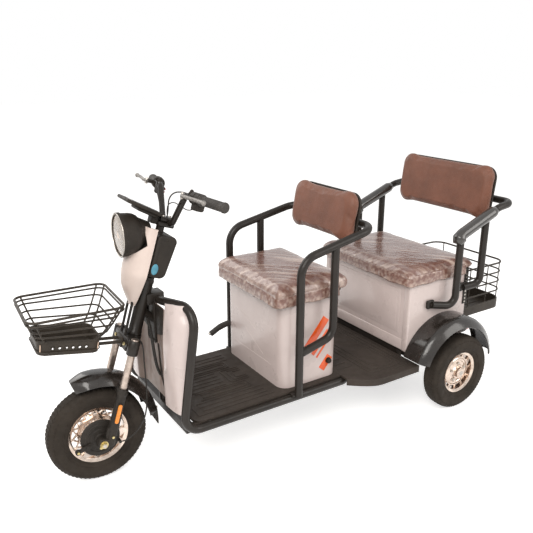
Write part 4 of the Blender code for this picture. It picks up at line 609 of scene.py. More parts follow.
def bend_side_tubes():
    for side, sign in SIDES:
        y = SIDE_TUBE_Y * sign
        line = [aft(0.262, 0.03 * sign, 0.664), aft(0.262, 0.05 * sign, 0.664),
                aft(0.302, y, SIDE_TUBE_BEND_Z), aft(0.2365, y, SIDE_TUBE_Z),
                aft(0.985, y, SIDE_TUBE_Z), aft(0.985, 0.1453 * sign, SIDE_TUBE_Z)]
        tube = frame_tube(line, (0.06, 0.07, 0.06, 0.03))
        piece("frame_tube_" + side, "chassis", [tube], ["side_tube_" + side])


def weld_head_frame():
    head = turned([(0.0162, 0.3925), (0.0262, 0.3925), (0.0262, 0.404), (0.024, 0.407),
                   (0.024, 0.586), (0.0258, 0.589), (0.0258, 0.5985), (0.0245, 0.6),
                   (0.0162, 0.6), (0.0162, 0.3925)], ORIGIN, UPWARD,
                  FRAME_BLACK)
    moved(STRAIGHT, head)
    down = frame_tube([STRAIGHT @ Vector((-0.018, 0.0, 0.474)), aft(0.27, 0.0, 0.56),
                       aft(0.27, 0.0, 0.2408)], (0.05,))
    web = block(aft(0.284, -0.0297, 0.646), aft(0.216, 0.0297, 0.688), FRAME_BLACK,
                0.004)
    piece("head_tube_frame", "chassis", [head, down, web], ["head_frame"])


def bend_driver_rail():
    slope = (DRIVER_BACK_Z - DRIVER_RAIL_Z) / (1.078 - 0.725)
    left = [aft(0.725, DRIVER_RAIL_Y, 0.236), aft(0.727, DRIVER_RAIL_Y, DRIVER_RAIL_Z),
            aft(1.078, DRIVER_RAIL_Y, DRIVER_BACK_Z)]
    right = [(x, -y, z) for x, y, z in reversed(left)]
    parts = [frame_tube(left + right, (0.08, 0.06, 0.06, 0.08))]
    for sign in (1, -1):
        y = DRIVER_RAIL_Y * sign
        post = [aft(0.886, y, DRIVER_RAIL_Z + slope * 0.161), aft(0.886, y, 0.455),
                aft(0.733, y, 0.4165)]
        parts.append(frame_tube(post, (0.055,)))
        # weld beads where the rear post meets the front one
        parts.append(pipe(bent([aft(0.744, y, 0.4365), aft(0.752, y + 0.0165 * sign, 0.4205), aft(0.744,
                                                                                                  y,
                                                                                                  0.403)],
                               (0.012,)), 0.0032, FRAME_BLACK, 8))
        parts.append(side_block(sign, aft(0.757, 0.2405, 0.2345), aft(0.697, DRIVER_RAIL_Y, 0.244),
                                FRAME_BLACK, 0.003))
    piece("driver_seat_rail", "chassis", parts, ["driver_rail"])


def arm_line(sign):
    y = ARM_Y * sign
    return [aft(1.394, ARM_FOOT_Y * sign, 0.487), aft(1.516, y, 0.464),
            aft(1.516, y, ARM_Z), aft(1.745, y, 0.876), aft(1.835, y, 0.886)]


def bend_bench_rail():
    bends = (0.042, 0.03, 0.12, 0.045)
    line = arm_line(1) + list(reversed(arm_line(-1)))
    parts = [frame_tube(line, bends + bends[::-1])]
    top = ARM_Z + 0.096 / 0.229 * 0.15
    for sign in (1, -1):
        post = [aft(1.666, ARM_Y * sign, top), aft(1.666, ARM_Y * sign, 0.542),
                aft(1.588, ARM_FOOT_Y * sign, 0.53)]
        parts.append(frame_tube(post, (0.035,)))
        for at, z in ((1.394, 0.487), (1.588, 0.53)):
            # flattened tube foot, bolted to the box's side
            parts.append(side_block(sign, aft(at + 0.02, 0.2885, z - 0.019),
                                    aft(at - 0.02, 0.304, z + 0.019), FRAME_BLACK, 0.006, 3))
            parts.append(hexagon(aft(at, 0.304 * sign, z), aft(at, 0.3095 * sign, z),
                                 0.008, CASTING_BLACK))
    piece("bench_arm_rail", "chassis", parts, ["bench_rail"])


def pad_arms():
    """Glossy foam arm pads: fat at the front, pale below."""
    for side, sign in SIDES:
        y = ARM_Y * sign
        line = bent([aft(1.496, y, 0.748), aft(1.512, y, 0.784),
                     aft(1.727, y, 0.869)], (0.033,), 10)
        middle = [line[0]]
        for here, there in zip(line, line[1:]):
            steps = max(1, round((there - here).length / 0.012))
            middle += [here.lerp(there, (i + 1) / steps) for i in range(steps)]
        count = len(middle)
        around_count = 28
        centre_line = []
        for i, spot in enumerate(middle):
            along = (middle[min(i + 1, count - 1)] - middle[max(i - 1, 0)]).normalized()
            share = i / (count - 1)
            swell = 1.0 + 0.24 * max(0.0, 1.0 - share * 4.0)
            end = min(share, 1.0 - share) * count
            close = min(1.0, 0.62 + 0.38 * min(1.0, end / 2.0))
            centre_line.append((spot, along, 0.0245 * swell * close))

        def place(u, v, centre_line=centre_line, count=count):
            spot, along, radius = centre_line[min(count - 1, round(v * (count - 1)))]
            over = Vector(LEFTWARD).cross(along)
            if over.z < 0.0:
                over = -over
            turn = u * 2.0 * pi
            out = Vector(LEFTWARD) * cos(turn) * 1.05 + over.normalized() * sin(turn)
            return spot + out * radius
        pad = skin(around_count, count - 1, place, GRIP_GLOSS)
        open_mesh(pad)
        bpy.ops.mesh.remove_doubles(threshold=0.0002)
        bpy.ops.mesh.select_all(action="DESELECT")
        bpy.ops.mesh.select_non_manifold(extend=False, use_boundary=True, use_wire=False,
                                         use_multi_face=False, use_non_contiguous=False,
                                         use_verts=False)
        bpy.ops.mesh.edge_face_add()
        bpy.ops.mesh.select_all(action="SELECT")
        bpy.ops.mesh.normals_make_consistent(inside=False)
        bpy.ops.object.mode_set(mode="OBJECT")
        lining = skin(10, 26, lambda u, v, y=y: Vector((
            behind(1.514 + 0.2 * v), y + (u - 0.5) * 0.04,
            0.761 + 0.084 * v + 0.01 * (2.0 * u - 1.0) ** 2)), BEIGE, 0.0022, True)
        obj = piece("arm_rest_" + side, "chassis", [pad, lining],
                    ["arm_pad_" + side])


# Floors
def pressed_loop(open_end, shut_end, start_y, end_y, z, bend, radius, steps):
    """A pressed line with two square turns, open towards one end."""
    line = bent([aft(open_end, start_y, z), aft(shut_end, start_y, z),
                 aft(shut_end, end_y, z), aft(open_end, end_y, z)], (bend, bend), steps)
    return pipe(line, radius, FLOOR_BLACK, 8)


def rib(far, near, y, z):
    return plank(aft(far, y, z), aft(near, y, z), 0.008, 0.0044, UPWARD, FLOOR_BLACK,
                 0.0019)


def press_floor_ribs():
    """Pressed ribs of the two floor panels."""
    top = 0.2505
    parts = []
    for sign in (1, -1):
        parts.append(side_block(sign, aft(0.985, 0.218, 0.227), aft(0.27, 0.2385, 0.2425),
                                FLOOR_BLACK, 0.001))
    for y in (-0.186, -0.16, -0.134, -0.052, -0.026, 0.0, 0.026, 0.052, 0.134, 0.16, 0.186):
        near, far = 0.345, 0.628
        if abs(y) < 0.06:
            far = 0.52
        parts.append(rib(far, near, y, top))
    for y in (-0.093, 0.093):
        for inner in (0.0, 0.014):
            reach = 0.026 - inner
            parts.append(pressed_loop(0.375 + inner, 0.6 - inner, y - reach, y + reach,
                                      top + 0.0002, 0.01, 0.003, 5))
    for inner in (0.0, 0.02, 0.04):
        parts.append(pressed_loop(0.628, 0.545 + inner, -0.052 + inner * 0.7, 0.052 - inner * 0.7,
                                  top + 0.0002, 0.008, 0.003, 5))
    low = 0.249
    for inner in (0.0, 0.022, 0.044):
        for open_end, shut_end, reach in ((1.15, 1.072 + inner, 0.295), (1.165, 1.268 - inner, 0.318)):
            parts.append(pressed_loop(open_end, shut_end, reach - inner, -reach + inner, low, 0.022,
                                      0.0032, 6))
    for y in (-0.2, -0.16, -0.12, -0.08, -0.04, 0.0, 0.04, 0.08, 0.12, 0.16, 0.2):
        parts.append(rib(1.045, 0.975, y, low))
    piece("floor_ribs", "chassis", parts)
    edge = [aft(0.9585, 0.2815, 0.2475)]
    for i in range(10):
        share = i / 9.0
        edge.append(aft(0.9585 + 0.1315 * share, 0.2825 + 0.074 * sin(share * pi / 2.0),
                        0.2475))
    edge.append(aft(1.2915, 0.3565, 0.2475))
    for side, sign in SIDES:
        roll = pipe([(x, y * sign - 0.0012 * sign, z - 0.001) for x, y, z in edge], 0.0032,
                    FLOOR_BLACK, 10)
        piece("floor_edge_" + side, "chassis", [roll])


def hang_floor_stubs():
    """Black rubber stops and bolts below the floor's left and right edges."""
    parts = []
    for sign in (1, -1):
        for at, z, y in ((0.345, 0.214, 0.236), (0.62, 0.196, 0.226), (0.8, 0.196, 0.226)):
            parts.append(rod(aft(at, y * sign, z), aft(at, y * sign, z + 0.03), 0.012,
                             DULL_BLACK, 20, 0.01, edge=0.002))
        parts.append(rod(aft(1.03, 0.232 * sign, 0.192), aft(1.03, 0.232 * sign, 0.2395),
                         0.012, DULL_BLACK, 20, edge=0.002))
        parts.append(rod(aft(1.03, 0.232 * sign, 0.2), aft(1.115, 0.212 * sign, 0.213),
                         0.0042, STEEL, 12))
    piece("floor_stops", "chassis", parts)


# Leg shield
def leg_x(z):
    return behind(0.2365 + (z - SIDE_TUBE_Z) / 0.466 * 0.0655)


def inner_edge_x(z):
    share = (z - SHIELD_FOOT_Z) / SHIELD_RISE
    return leg_x(z) + 0.058 * (0.35 + 0.65 * sin(share * pi / 2.0))


def mould_leg_shield():
    bend_y, bend_z, reach = 0.178, SIDE_TUBE_BEND_Z - 0.07 * 1.16, 0.052

    def outer_y(z):
        if z <= bend_z:
            return 0.2317
        return min(0.2317, bend_y + (reach ** 2 - (z - bend_z) ** 2) ** 0.5)

    for side, sign in SIDES:
        def wing(u, v, sign=sign):
            z = SHIELD_FOOT_Z + v * 0.402
            y = 0.128 + u * (outer_y(min(z, 0.652)) - 0.128)
            z -= 0.02 * max(0.0, v - 0.9) / 0.1 * max(0.0, (0.5 - u) * 0.6)
            back = leg_x(z)
            x = back + (inner_edge_x(z) - back) * (1.0 - u ** 2) ** 0.5
            dent = 0.0022 * sin(u * 9.0 + v * 4.0) * sin(v * 11.0)
            return Vector((x + dent * (1.0 - u), y * sign, z))
        shell = skin(20, 30, wing, FILMED_WHITE, 0.003, flip=sign < 0)
        piece("leg_shield_wing_" + side, "chassis", [shell],
              ["leg_shield_" + side])

    def middle(u, v):
        y = (u - 0.5) * 0.25
        z = SHIELD_FOOT_Z + v * SHIELD_RISE
        share = max(0.0, (abs(y) - 0.092) / 0.036)
        soft = share * share * (3.0 - 2.0 * share)
        groove = 0.0035 if abs(abs(y) - 0.046) < 0.01 and 0.12 < v < 0.86 else 0.0
        recess = behind(0.246)
        return Vector((recess + (inner_edge_x(z) - recess) * soft - groove, y, z))
    # the centre panel is the same white moulding as the wings, painted darker with painted shade of its
    # recess
    centre = skin(50, 24, middle, RECESS_PAINTED_SHADE, 0.003)
    drop_faces(centre, lambda face: face.center.z > 0.502 and abs(face.center.y) < 0.03)
    trim = pipe(bent([aft(0.24, 0.0325, 0.655), aft(0.24, 0.0325, 0.497),
                      aft(0.24, -0.0325, 0.497), aft(0.24, -0.0325, 0.655)],
                     (0.01, 0.01)), 0.0045, DULL_BLACK, 10)
    parts = [centre, trim]
    # the hook for a bag, and the knob under it
    hook = bent([aft(0.254, 0.062, 0.6), aft(0.278, 0.062, 0.598),
                 aft(0.286, 0.062, 0.57), aft(0.304, 0.062, 0.578)], (0.008, 0.009))
    parts.append(pipe(hook, 0.004, STEEL, 12))
    parts.append(rod(aft(0.25, 0.062, 0.6), aft(0.256, 0.062, 0.6), 0.012,
                     DULL_BLACK, 20, edge=0.002))
    parts.append(rod(aft(0.25, 0.02, 0.47), aft(0.272, 0.02, 0.47), 0.01,
                     DULL_BLACK, 24, 0.008, edge=0.002))
    parts.append(block(aft(0.245, -0.0345, 0.495), aft(0.2412, 0.0345, 0.664), DULL_BLACK,
                       0.0015))
    # dark trim that closes the shield's top round the head frame
    for sign in (1, -1):
        plate = side_block(sign, aft(0.2475, 0.031, 0.56), aft(0.2405, 0.13, 0.6515),
                           DULL_BLACK, 0.003)
        for vertex in plate.data.vertices:
            # the foot of the plate slants up and outwards
            out = (abs(vertex.co.y) - 0.031) / 0.099
            if vertex.co.z < 0.6:
                vertex.co.z += 0.03 * out - 0.03
        parts.append(plate)
    parts.append(pipe([aft(0.24, 0.112, 0.3), aft(0.24, 0.07, 0.372),
                       aft(0.24, 0.05, 0.5)], 0.0032, DULL_BLACK, 8))
    piece("leg_shield_middle", "chassis", parts, ["leg_shield_centre"])


# Seat boxes
def open_top(obj, wall, high):
    """Take off the faces at the top and give the rest a wall."""
    drop_faces(obj, lambda face: face.normal.z > 0.9 and face.center.z > high - 0.001)
    return change(obj, "SOLIDIFY", thickness=wall, offset=-1.0)


def upright_box(low, high, look, corner, segments=8):
    """A box whose upright edges are rounded."""
    obj = round_edges(cube(low, high), lambda a, b: abs(a.z - b.z) > 0.01, corner, segments)
    return dress(obj, look)


def mould_driver_box():
    low, high = aft(0.9565, -DRIVER_BOX_Y, DRIVER_BOX_FOOT_Z), aft(0.679, DRIVER_BOX_Y,
                                                                   DRIVER_BOX_TOP_Z)
    body = open_top(upright_box(low, high, FILMED_WHITE, 0.045), 0.005, DRIVER_BOX_TOP_Z)
    parts = [body]
    # faint pressed lines on the front face
    x = behind(0.679) - 0.0004
    for (y0, z0), (y1, z1) in (((-0.09, 0.486), (0.02, 0.44)), ((-0.06, 0.42), (0.08, 0.352)),
                               ((-0.15, 0.33), (0.14, 0.33))):
        parts.append(pipe([(x, y0, z0), (x, y1, z1)], 0.0012, FILMED_WHITE, 8))
    piece("driver_seat_box", "chassis", parts, ["driver_box"])
    # generic stripes on the left and right sides
    for side, sign in SIDES:
        strips = []
        for a, b, z0, z1, wide in ((0.79, 0.89, 0.392, 0.512, 0.036),
                                   (0.826, 0.902, 0.366, 0.457, 0.018),
                                   (0.846, 0.908, 0.348, 0.422, 0.009),
                                   (0.872, 0.914, 0.29, 0.34, 0.034)):
            strips.append(plank(aft(a, 0.2174 * sign, z0), aft(b, 0.2174 * sign, z1),
                                0.0012, wide, UPWARD, ORANGE, 0.0004))
        piece("seat_box_stripes_" + side, "chassis", strips)
    fittings = [block(aft(0.94, 0.214, 0.56), aft(0.915, 0.2245, 0.604), DULL_BLACK,
                      0.003),
                block(aft(0.934, 0.222, 0.572), aft(0.921, 0.2285, 0.596), DULL_BLACK,
                      0.002),
                rod(aft(0.905, 0.2165, 0.322), aft(0.905, 0.23, 0.322), 0.013,
                    DULL_BLACK, 24, 0.011, edge=0.002)]
    piece("seat_box_fittings", "chassis", fittings)


def mould_bench_box():
    front = behind(1.279)
    body = block(aft(1.634, -BENCH_Y, BENCH_FOOT_Z), (front - 0.0045, BENCH_Y, BENCH_TOP_Z),
                 FILMED_WHITE, 0.008, 4)
    parts = [open_top(body, 0.009, BENCH_TOP_Z)]
    for sign in (1, -1):
        parts.append(side_block(sign, aft(1.3, 0.251, BENCH_FOOT_Z), (front, BENCH_Y, BENCH_TOP_Z),
                                FILMED_WHITE, 0.01, 4))
    # rails and raised fields of the front panel; columns: back, half width, foot, top, recess,
    # edge, segments
    for back, half, foot, top, recess, edge, segments in (
            (1.296, 0.255, 0.575, BENCH_TOP_Z, 0.0008, 0.005, 3),
            (1.296, 0.255, 0.281, 0.335, 0.003, 0.006, 3),
            (1.29, 0.228, 0.357, 0.557, 0.0022, 0.002, 2),
            (1.29, 0.21, 0.374, 0.541, 0.0008, 0.0014, 2)):
        parts.append(block(aft(back, -half, foot), (front - recess, half, top), FILMED_WHITE,
                           edge, segments))
    for sign in (1, -1):
        y = BENCH_Y * sign
        for z in (0.3, 0.578):
            parts.append(plank(aft(1.318, y, z), aft(1.6, y, z), 0.0016, 0.006,
                               UPWARD, FILMED_WHITE, 0.0007))
    piece("bench_seat_box", "chassis", parts, ["bench_box"])
    strips = []
    for sign in (1, -1):
        strips.append(side_block(sign, aft(1.6345, 0.2868, 0.44),
                                 aft(1.61, 0.2898, 0.596), DULL_BLACK, 0.0012))
        for i in range(9):
            z = 0.45 + i * 0.0165
            strips.append(rod(aft(1.6225, 0.2896 * sign, z),
                              aft(1.6225, 0.2906 * sign, z), 0.0042, STEEL, 12))
    piece("bench_box_strips", "chassis", strips)


# Lids, cushions and backrests
def soften(obj, cap, pressure=4.0):
    """Blow the piece up with a short cloth run, each point held within cap."""
    pick(obj)
    change(obj, "REMESH", mode="VOXEL", voxel_size=0.006)
    start = [v.co.copy() for v in obj.data.vertices]
    cloth = obj.modifiers.new("cloth", "CLOTH")
    cloth.settings.quality = 4
    cloth.settings.use_pressure = True
    cloth.settings.uniform_pressure_force = pressure
    cloth.settings.effector_weights.gravity = 0.0
    cloth.settings.tension_stiffness = 12.0
    cloth.settings.bending_stiffness = 0.4
    for number in range(1, 21):
        bpy.context.scene.frame_set(number)
    pick(obj)
    bpy.ops.object.modifier_apply(modifier=cloth.name)
    bpy.context.scene.frame_set(1)
    for vertex, first in zip(obj.data.vertices, start):
        step = vertex.co - first
        if step.length > cap:
            vertex.co = first + step.normalized() * cap
    return change(obj, "SMOOTH", factor=0.5, iterations=3)


def fill_out(obj, axes, low, high):
    """Stretch the pad along the named axes until it reaches from low to high."""
    for axis in axes:
        least = min(vertex.co[axis] for vertex in obj.data.vertices)
        most = max(vertex.co[axis] for vertex in obj.data.vertices)
        grow = (high[axis] - low[axis]) / (most - least)
        for vertex in obj.data.vertices:
            vertex.co[axis] = low[axis] + (vertex.co[axis] - least) * grow


def wrinkle(obj, low, high, along, amount, top):
    """Film folds on a wrapped cushion, and how pale the film is painted at each point: its haze where it
    stands off, and painted highlight on its creases, crumples and sides.
    """
    obj.data.attributes.new("film_haze_and_highlight", "FLOAT", "POINT")
    film_haze_and_highlight = obj.data.attributes["film_haze_and_highlight"].data
    way = Vector(along).normalized()
    across = way.cross(Vector(UPWARD))
    normals = [vertex.normal.copy() for vertex in obj.data.vertices]
    for index, (vertex, normal) in enumerate(zip(obj.data.vertices, normals)):
        spot = vertex.co.copy()
        streak = noise.noise(Vector((spot.dot(across) * 78.0, spot.dot(way) * 6.0, spot.z * 18.0)))
        crumple = noise.noise(spot * 46.0 + Vector((3.1, 7.7, 1.3)))
        reach = min(spot.x - low[0], high[0] - spot.x, spot.y - low[1], high[1] - spot.y)
        rim = max(0.0, 1.0 - reach / 0.055)
        side = max(0.0, min(1.0, (top - 0.012 - spot.z) / 0.02))
        vertex.co = spot + normal * amount * (streak * 0.6 + crumple * (0.35 + rim))
        # paleness from streaks, crumples, rim and sides: painted highlight on the wrap, over its own haze
        value = 0.2 + 1.3 * max(0.0, streak) + 0.55 * max(0.0, crumple) * (0.4 + rim) + 0.3 * side
        film_haze_and_highlight[index].value = max(0.0, min(1.0, value - 0.26))


def hang_hem(low, high, top, drop):
    """The wrap's hem, hung over the lid along the front and both sides."""
    out = 0.0016
    corner = 0.024
    line = bent([(low.x + 0.05, high.y + out, 0.0), (high.x + out, high.y + out, 0.0),
                 (high.x + out, low.y - out, 0.0), (low.x + 0.05, low.y - out, 0.0)],
                (corner, corner), 8)
    lengths = [0.0]
    for here, there in zip(line, line[1:]):
        lengths.append(lengths[-1] + (there - here).length)

    def place(u, v):
        reach = u * lengths[-1]
        index = 0
        while index < len(line) - 2 and lengths[index + 1] < reach:
            index += 1
        here, there = line[index], line[index + 1]
        spot = here.lerp(there, (reach - lengths[index]) / max(1e-9, (there - here).length))
        outward = (there - here).normalized().cross(Vector(UPWARD))
        if outward.dot(spot - (low + high) / 2.0) < 0.0:
            outward = -outward
        fold = noise.noise(Vector((reach * 46.0, v * 1.6, low.x)))
        ripple = noise.noise(Vector((reach * 150.0, v * 5.0, low.x + 3.0)))
        ragged = 0.5 + 0.5 * noise.noise(Vector((reach * 14.0, 2.0, low.x)))
        fall = drop * (0.7 + 0.55 * ragged)
        spot = spot + outward * (-0.008 * (1.0 - v) ** 3 + 0.0022 * fold * v + 0.0007 * ripple)
        return Vector((spot.x, spot.y, top - (top - low.z + fall) * v))
    hem = skin(220, 10, place, WRAPPED, 0.0)
    hem.data.attributes.new("film_haze_and_highlight", "FLOAT", "POINT")
    film_haze_and_highlight = hem.data.attributes["film_haze_and_highlight"].data
    # the hem's paleness: its own haze where it hangs free below the lid, and painted highlight along its
    # streaks
    for index, vertex in enumerate(hem.data.vertices):
        streak = noise.noise(vertex.co * Vector((90.0, 90.0, 22.0)).x)
        fallen = max(0.0, (low.z - vertex.co.z) / drop)
        film_haze_and_highlight[index].value = max(0.0, min(1.0, 0.16 + 0.9 * streak + 0.38 * fallen))
    return change(hem, "SOLIDIFY", thickness=0.0006, offset=-1.0)


def stuff_seat(name, body, low, high, node_name, cap, drop):
    low, high = Vector(low), Vector(high)
    obj = block(low + Vector((0.004, 0.004, 0.002)), high - Vector((0.004, 0.004, 0.01)), WRAPPED,
                0.018, 3)
    soften(obj, cap)
    fill_out(obj, (0, 1), low, high)
    for vertex in obj.data.vertices:
        # the pad sits flat on its lid and stays under its own crown
        share = (vertex.co.z - low.z) / (high.z - low.z)
        if share < 0.12:
            vertex.co.z = low.z + 0.0004
        vertex.co.z = min(vertex.co.z, high.z + 0.004)
        vertex.co.x = max(low.x - 0.002, min(high.x + 0.002, vertex.co.x))
        vertex.co.y = max(low.y - 0.002, min(high.y + 0.002, vertex.co.y))
        # its crown falls away towards the rim
        reach = min(high.x - vertex.co.x, vertex.co.y - low.y, high.y - vertex.co.y,
                    vertex.co.x - low.x)
        if share > 0.5:
            vertex.co.z -= 0.01 * max(0.0, 1.0 - reach / 0.07) ** 2
    change(obj, "SMOOTH", factor=0.5, iterations=2)
    change(obj, "SUBSURF", levels=1, render_levels=1)
    wrinkle(obj, low, high, (-0.65, 0.76, 0.0), 0.0011, high.z)
    dress(obj, WRAPPED, 60.0)
    hem = hang_hem(low, high, low.z + 0.024, drop)
    made = piece(name, body, [obj, hem], [node_name])
    return made


def board_lid(name, body, low, high, node_name):
    board = upright_box(low, high, DULL_BLACK, 0.02, 5)
    ease(board, 0.0022)
    dress(board, DULL_BLACK)
    piece(name, body, [board], [node_name])


def make_seats():
    board_lid("driver_seat_board", "driver_seat_lid", aft(0.9635, -0.224, 0.6173),
              aft(0.672, 0.224, 0.6293), "driver_lid")
    board_lid("bench_seat_board", "bench_seat_lid", aft(1.641, -0.294, 0.5973),
              aft(1.272, 0.294, 0.6093), "bench_lid")
    stuff_seat("driver_seat_cushion", "driver_seat_lid", aft(0.985, -0.238, 0.6296),
               aft(0.645, 0.238, 0.6916), "driver_cushion", 0.012, 0.024)
    stuff_seat("bench_seat_cushion", "bench_seat_lid", aft(1.655, -0.2965, 0.6096),
               aft(1.258, 0.2965, 0.6556), "bench_cushion", 0.012, 0.022)


def make_backrest(prefix, face, z, half_width, height, lean, rail, rail_z):
    pose = Matrix.Translation(aft(face, 0.0, z)) @ Matrix.Rotation(-radians(lean), 4, "Y")
    pad = block((-0.046, -half_width + 0.003, -height / 2.0 + 0.003),
                (-0.008, half_width - 0.003, height / 2.0 - 0.003), LEATHERETTE)
    round_edges(pad, lambda a, b: abs(a.x - b.x) > 0.02, 0.056, 10)
    ease(pad, 0.013, 3)
    soften(pad, 0.014)
    fill_out(pad, (1, 2), (0.0, -half_width, -height / 2.0), (0.0, half_width, height / 2.0))
    for vertex in pad.data.vertices:
        vertex.co.x = max(-0.0478, min(0.003, vertex.co.x))
        # the front panel is drawn in along the seam that runs round the side band
        edge = min(half_width - abs(vertex.co.y), height / 2.0 - abs(vertex.co.z))
        if -0.02 < vertex.co.x < -0.002 and edge < 0.012:
            vertex.co.x -= 0.0012
    change(pad, "SUBSURF", levels=1, render_levels=1)
    dress(pad, LEATHERETTE, 60.0)
    moved(pose, pad)
    made = piece(prefix + "_back_pad", "chassis", [pad],
                 [prefix + "_backrest"])
    shell = block((-0.0583, -half_width + 0.004, -height / 2.0 + 0.004),
                  (-0.0483, half_width - 0.004, height / 2.0 - 0.004), DULL_BLACK)
    round_edges(shell, lambda a, b: abs(a.x - b.x) > 0.005, 0.052, 10)
    ease(shell, 0.0035, 3)
    parts = [dress(shell, DULL_BLACK)]
    for spot in ((0.62, 0.6), (-0.62, 0.6), (0.62, -0.6), (-0.62, -0.6)):
        y, up = spot[0] * half_width, spot[1] * height / 2.0
        parts.append(rod((-0.0583, y, up), (-0.0612, y, up), 0.0065, STEEL, 16, 0.0045))
    moved(pose, *parts)
    drop = (z - rail_z) * tan(radians(lean))
    back_face = face + 0.053 / cos(radians(lean)) - drop
    for sign in (1, -1):
        low, high = sorted((sign * half_width * 0.35, sign * half_width * 0.52))
        parts.append(block(aft(rail - 0.0155, low, rail_z - 0.012),
                           aft(back_face, high, rail_z + 0.012), DULL_BLACK, 0.002))
        # clamp strap round the rail
        ring = [Vector((behind(rail) + 0.0178 * cos(i * pi / 12), (low + high) / 2.0,
                        rail_z + 0.0178 * sin(i * pi / 12))) for i in range(24)]
        strap = pipe(ring, 0.0026, DULL_BLACK, 8, True)
        for vertex in strap.data.vertices:
            middle = (low + high) / 2.0
            vertex.co.y = middle + (vertex.co.y - middle) * 3.6
        parts.append(strap)
    piece(prefix + "_back_board", "chassis", parts, [prefix + "_back_shell"])


# Wheels
def tyre_section(outer, bead, half_width):
    """Points (radius, offset) of a tyre's closed section."""
    wall = bead + 0.5 * (outer - bead)
    keys = [(bead, 0.0255), (bead + 0.016, half_width * 0.86), (wall, half_width),
            (outer - 0.02, half_width * 0.955), (outer - 0.0075, half_width * 0.76),
            (outer - 0.0024, half_width * 0.42), (outer - 0.0012, 0.0)]
    half = [(p.x, p.y) for p in smooth_line([Vector((r, y, 0.0)) for r, y in keys], 4)]
    other = [(r, -y) for r, y in reversed(half[:-1])]
    return half + other + [half[0]]


def vulcanise(name, body, centre, outer, bead, half_width, node_name, turn=None):
    """Tyre with side ribs round its shoulders and blocks across its crown."""
    section = tyre_section(outer, bead, half_width)
    carcass = turned(section, centre, LEFTWARD, RUBBER, 96)
    parts = [carcass]
    for radius, offset in ((bead + 0.012, 0.8), (bead + 0.024, 0.93)):
        for sign in (1, -1):
            ring = [centre + Vector((radius * cos(i * pi / 36), sign * half_width * offset,
                                     radius * sin(i * pi / 36))) for i in range(72)]
            parts.append(pipe(ring, 0.0013, RUBBER, 6, True))
    for sign in (1, -1):
        # one shoulder rib and one crown block, copied round
        rib = plank(centre + Vector((0.0015, sign * half_width * 0.6, outer - 0.0048)),
                    centre + Vector((-0.0015, sign * half_width * 0.965, outer - 0.0215)), 0.0042,
                    0.0056, (0.0, 0.35 * sign, 1.0), RUBBER)
        parts.append(around(rib, 68, centre, LEFTWARD))
        crown = plank(centre + Vector((-0.002, sign * half_width * 0.1, outer - 0.0021)),
                      centre + Vector((0.003, sign * half_width * 0.52, outer - 0.0033)), 0.0085,
                      0.0036, (0.0, 0.05 * sign, 1.0), RUBBER)
        parts.append(around(crown, 68, centre, LEFTWARD))
    if turn is not None:
        moved(turn, *parts)
    piece(name, body, parts, [node_name])


def rear_hub(sign):
    return Vector(aft(WHEELBASE, REAR_HUB_Y * sign, REAR_WHEEL_R))


def spot_on_wheel(centre, radius, angle, y):
    return centre + Vector((radius * sin(angle), y, radius * cos(angle)))


def barrel(centre, outer):
    seat = outer - 0.0133
    section = [(outer - 0.0012, 0.0308), (outer, 0.0298), (outer, 0.027), (seat, 0.0255),
               (seat, -0.0255), (outer, -0.027), (outer, -0.0298), (outer - 0.0012, -0.0308),
               (outer - 0.0045, -0.03), (seat - 0.004, -0.0245), (seat - 0.0075, -0.0225),
               (seat - 0.0085, -0.006), (seat - 0.0085, 0.006), (seat - 0.0075, 0.0225),
               (seat - 0.004, 0.0245), (outer - 0.0045, 0.03), (outer - 0.0012, 0.0308)]
    return turned(section, centre, LEFTWARD, CHROME, 96)


def cast_front_rim():
    """Cast rim: fifteen bars that fork towards the barrel, over a finned drum."""
    centre = FRONT_HUB
    parts = [barrel(centre, 0.118)]
    drum = [(0.0088, -0.03), (0.024, -0.03), (0.027, -0.028), (0.03, -0.02),
            (0.056, -0.013), (0.064, -0.008), (0.066, -0.004), (0.066, 0.0425),
            (0.064, 0.045), (0.0088, 0.045), (0.0088, -0.03)]
    parts.append(turned(drum, centre, LEFTWARD, CHROME, 72))
    collar = [(0.0655, 0.009), (0.071, 0.009), (0.073, 0.007), (0.073, -0.007),
              (0.071, -0.009), (0.0655, -0.009), (0.0655, 0.009)]
    parts.append(turned(collar, centre, LEFTWARD, CHROME, 72))
    step = 2.0 * pi / 15.0
    knee = spot_on_wheel(centre, 0.088, 0.0, 0.0)
    bars = [plank(spot_on_wheel(centre, 0.099, 0.0, 0.0), knee, 0.0056, 0.013, LEFTWARD,
                  CHROME, 0.0014)]
    for way in (-1, 1):
        bars.append(plank(spot_on_wheel(centre, 0.0895, 0.0, 0.0),
                          spot_on_wheel(centre, 0.0735, way * step * 0.5, 0.0), 0.0048, 0.012,
                          LEFTWARD, CHROME, 0.0012))
    parts.append(around(joined(bars), 15, centre, LEFTWARD))
    moved(TURNED, *parts)
    piece("front_cast_rim", "front_wheel", parts, ["front_rim"])


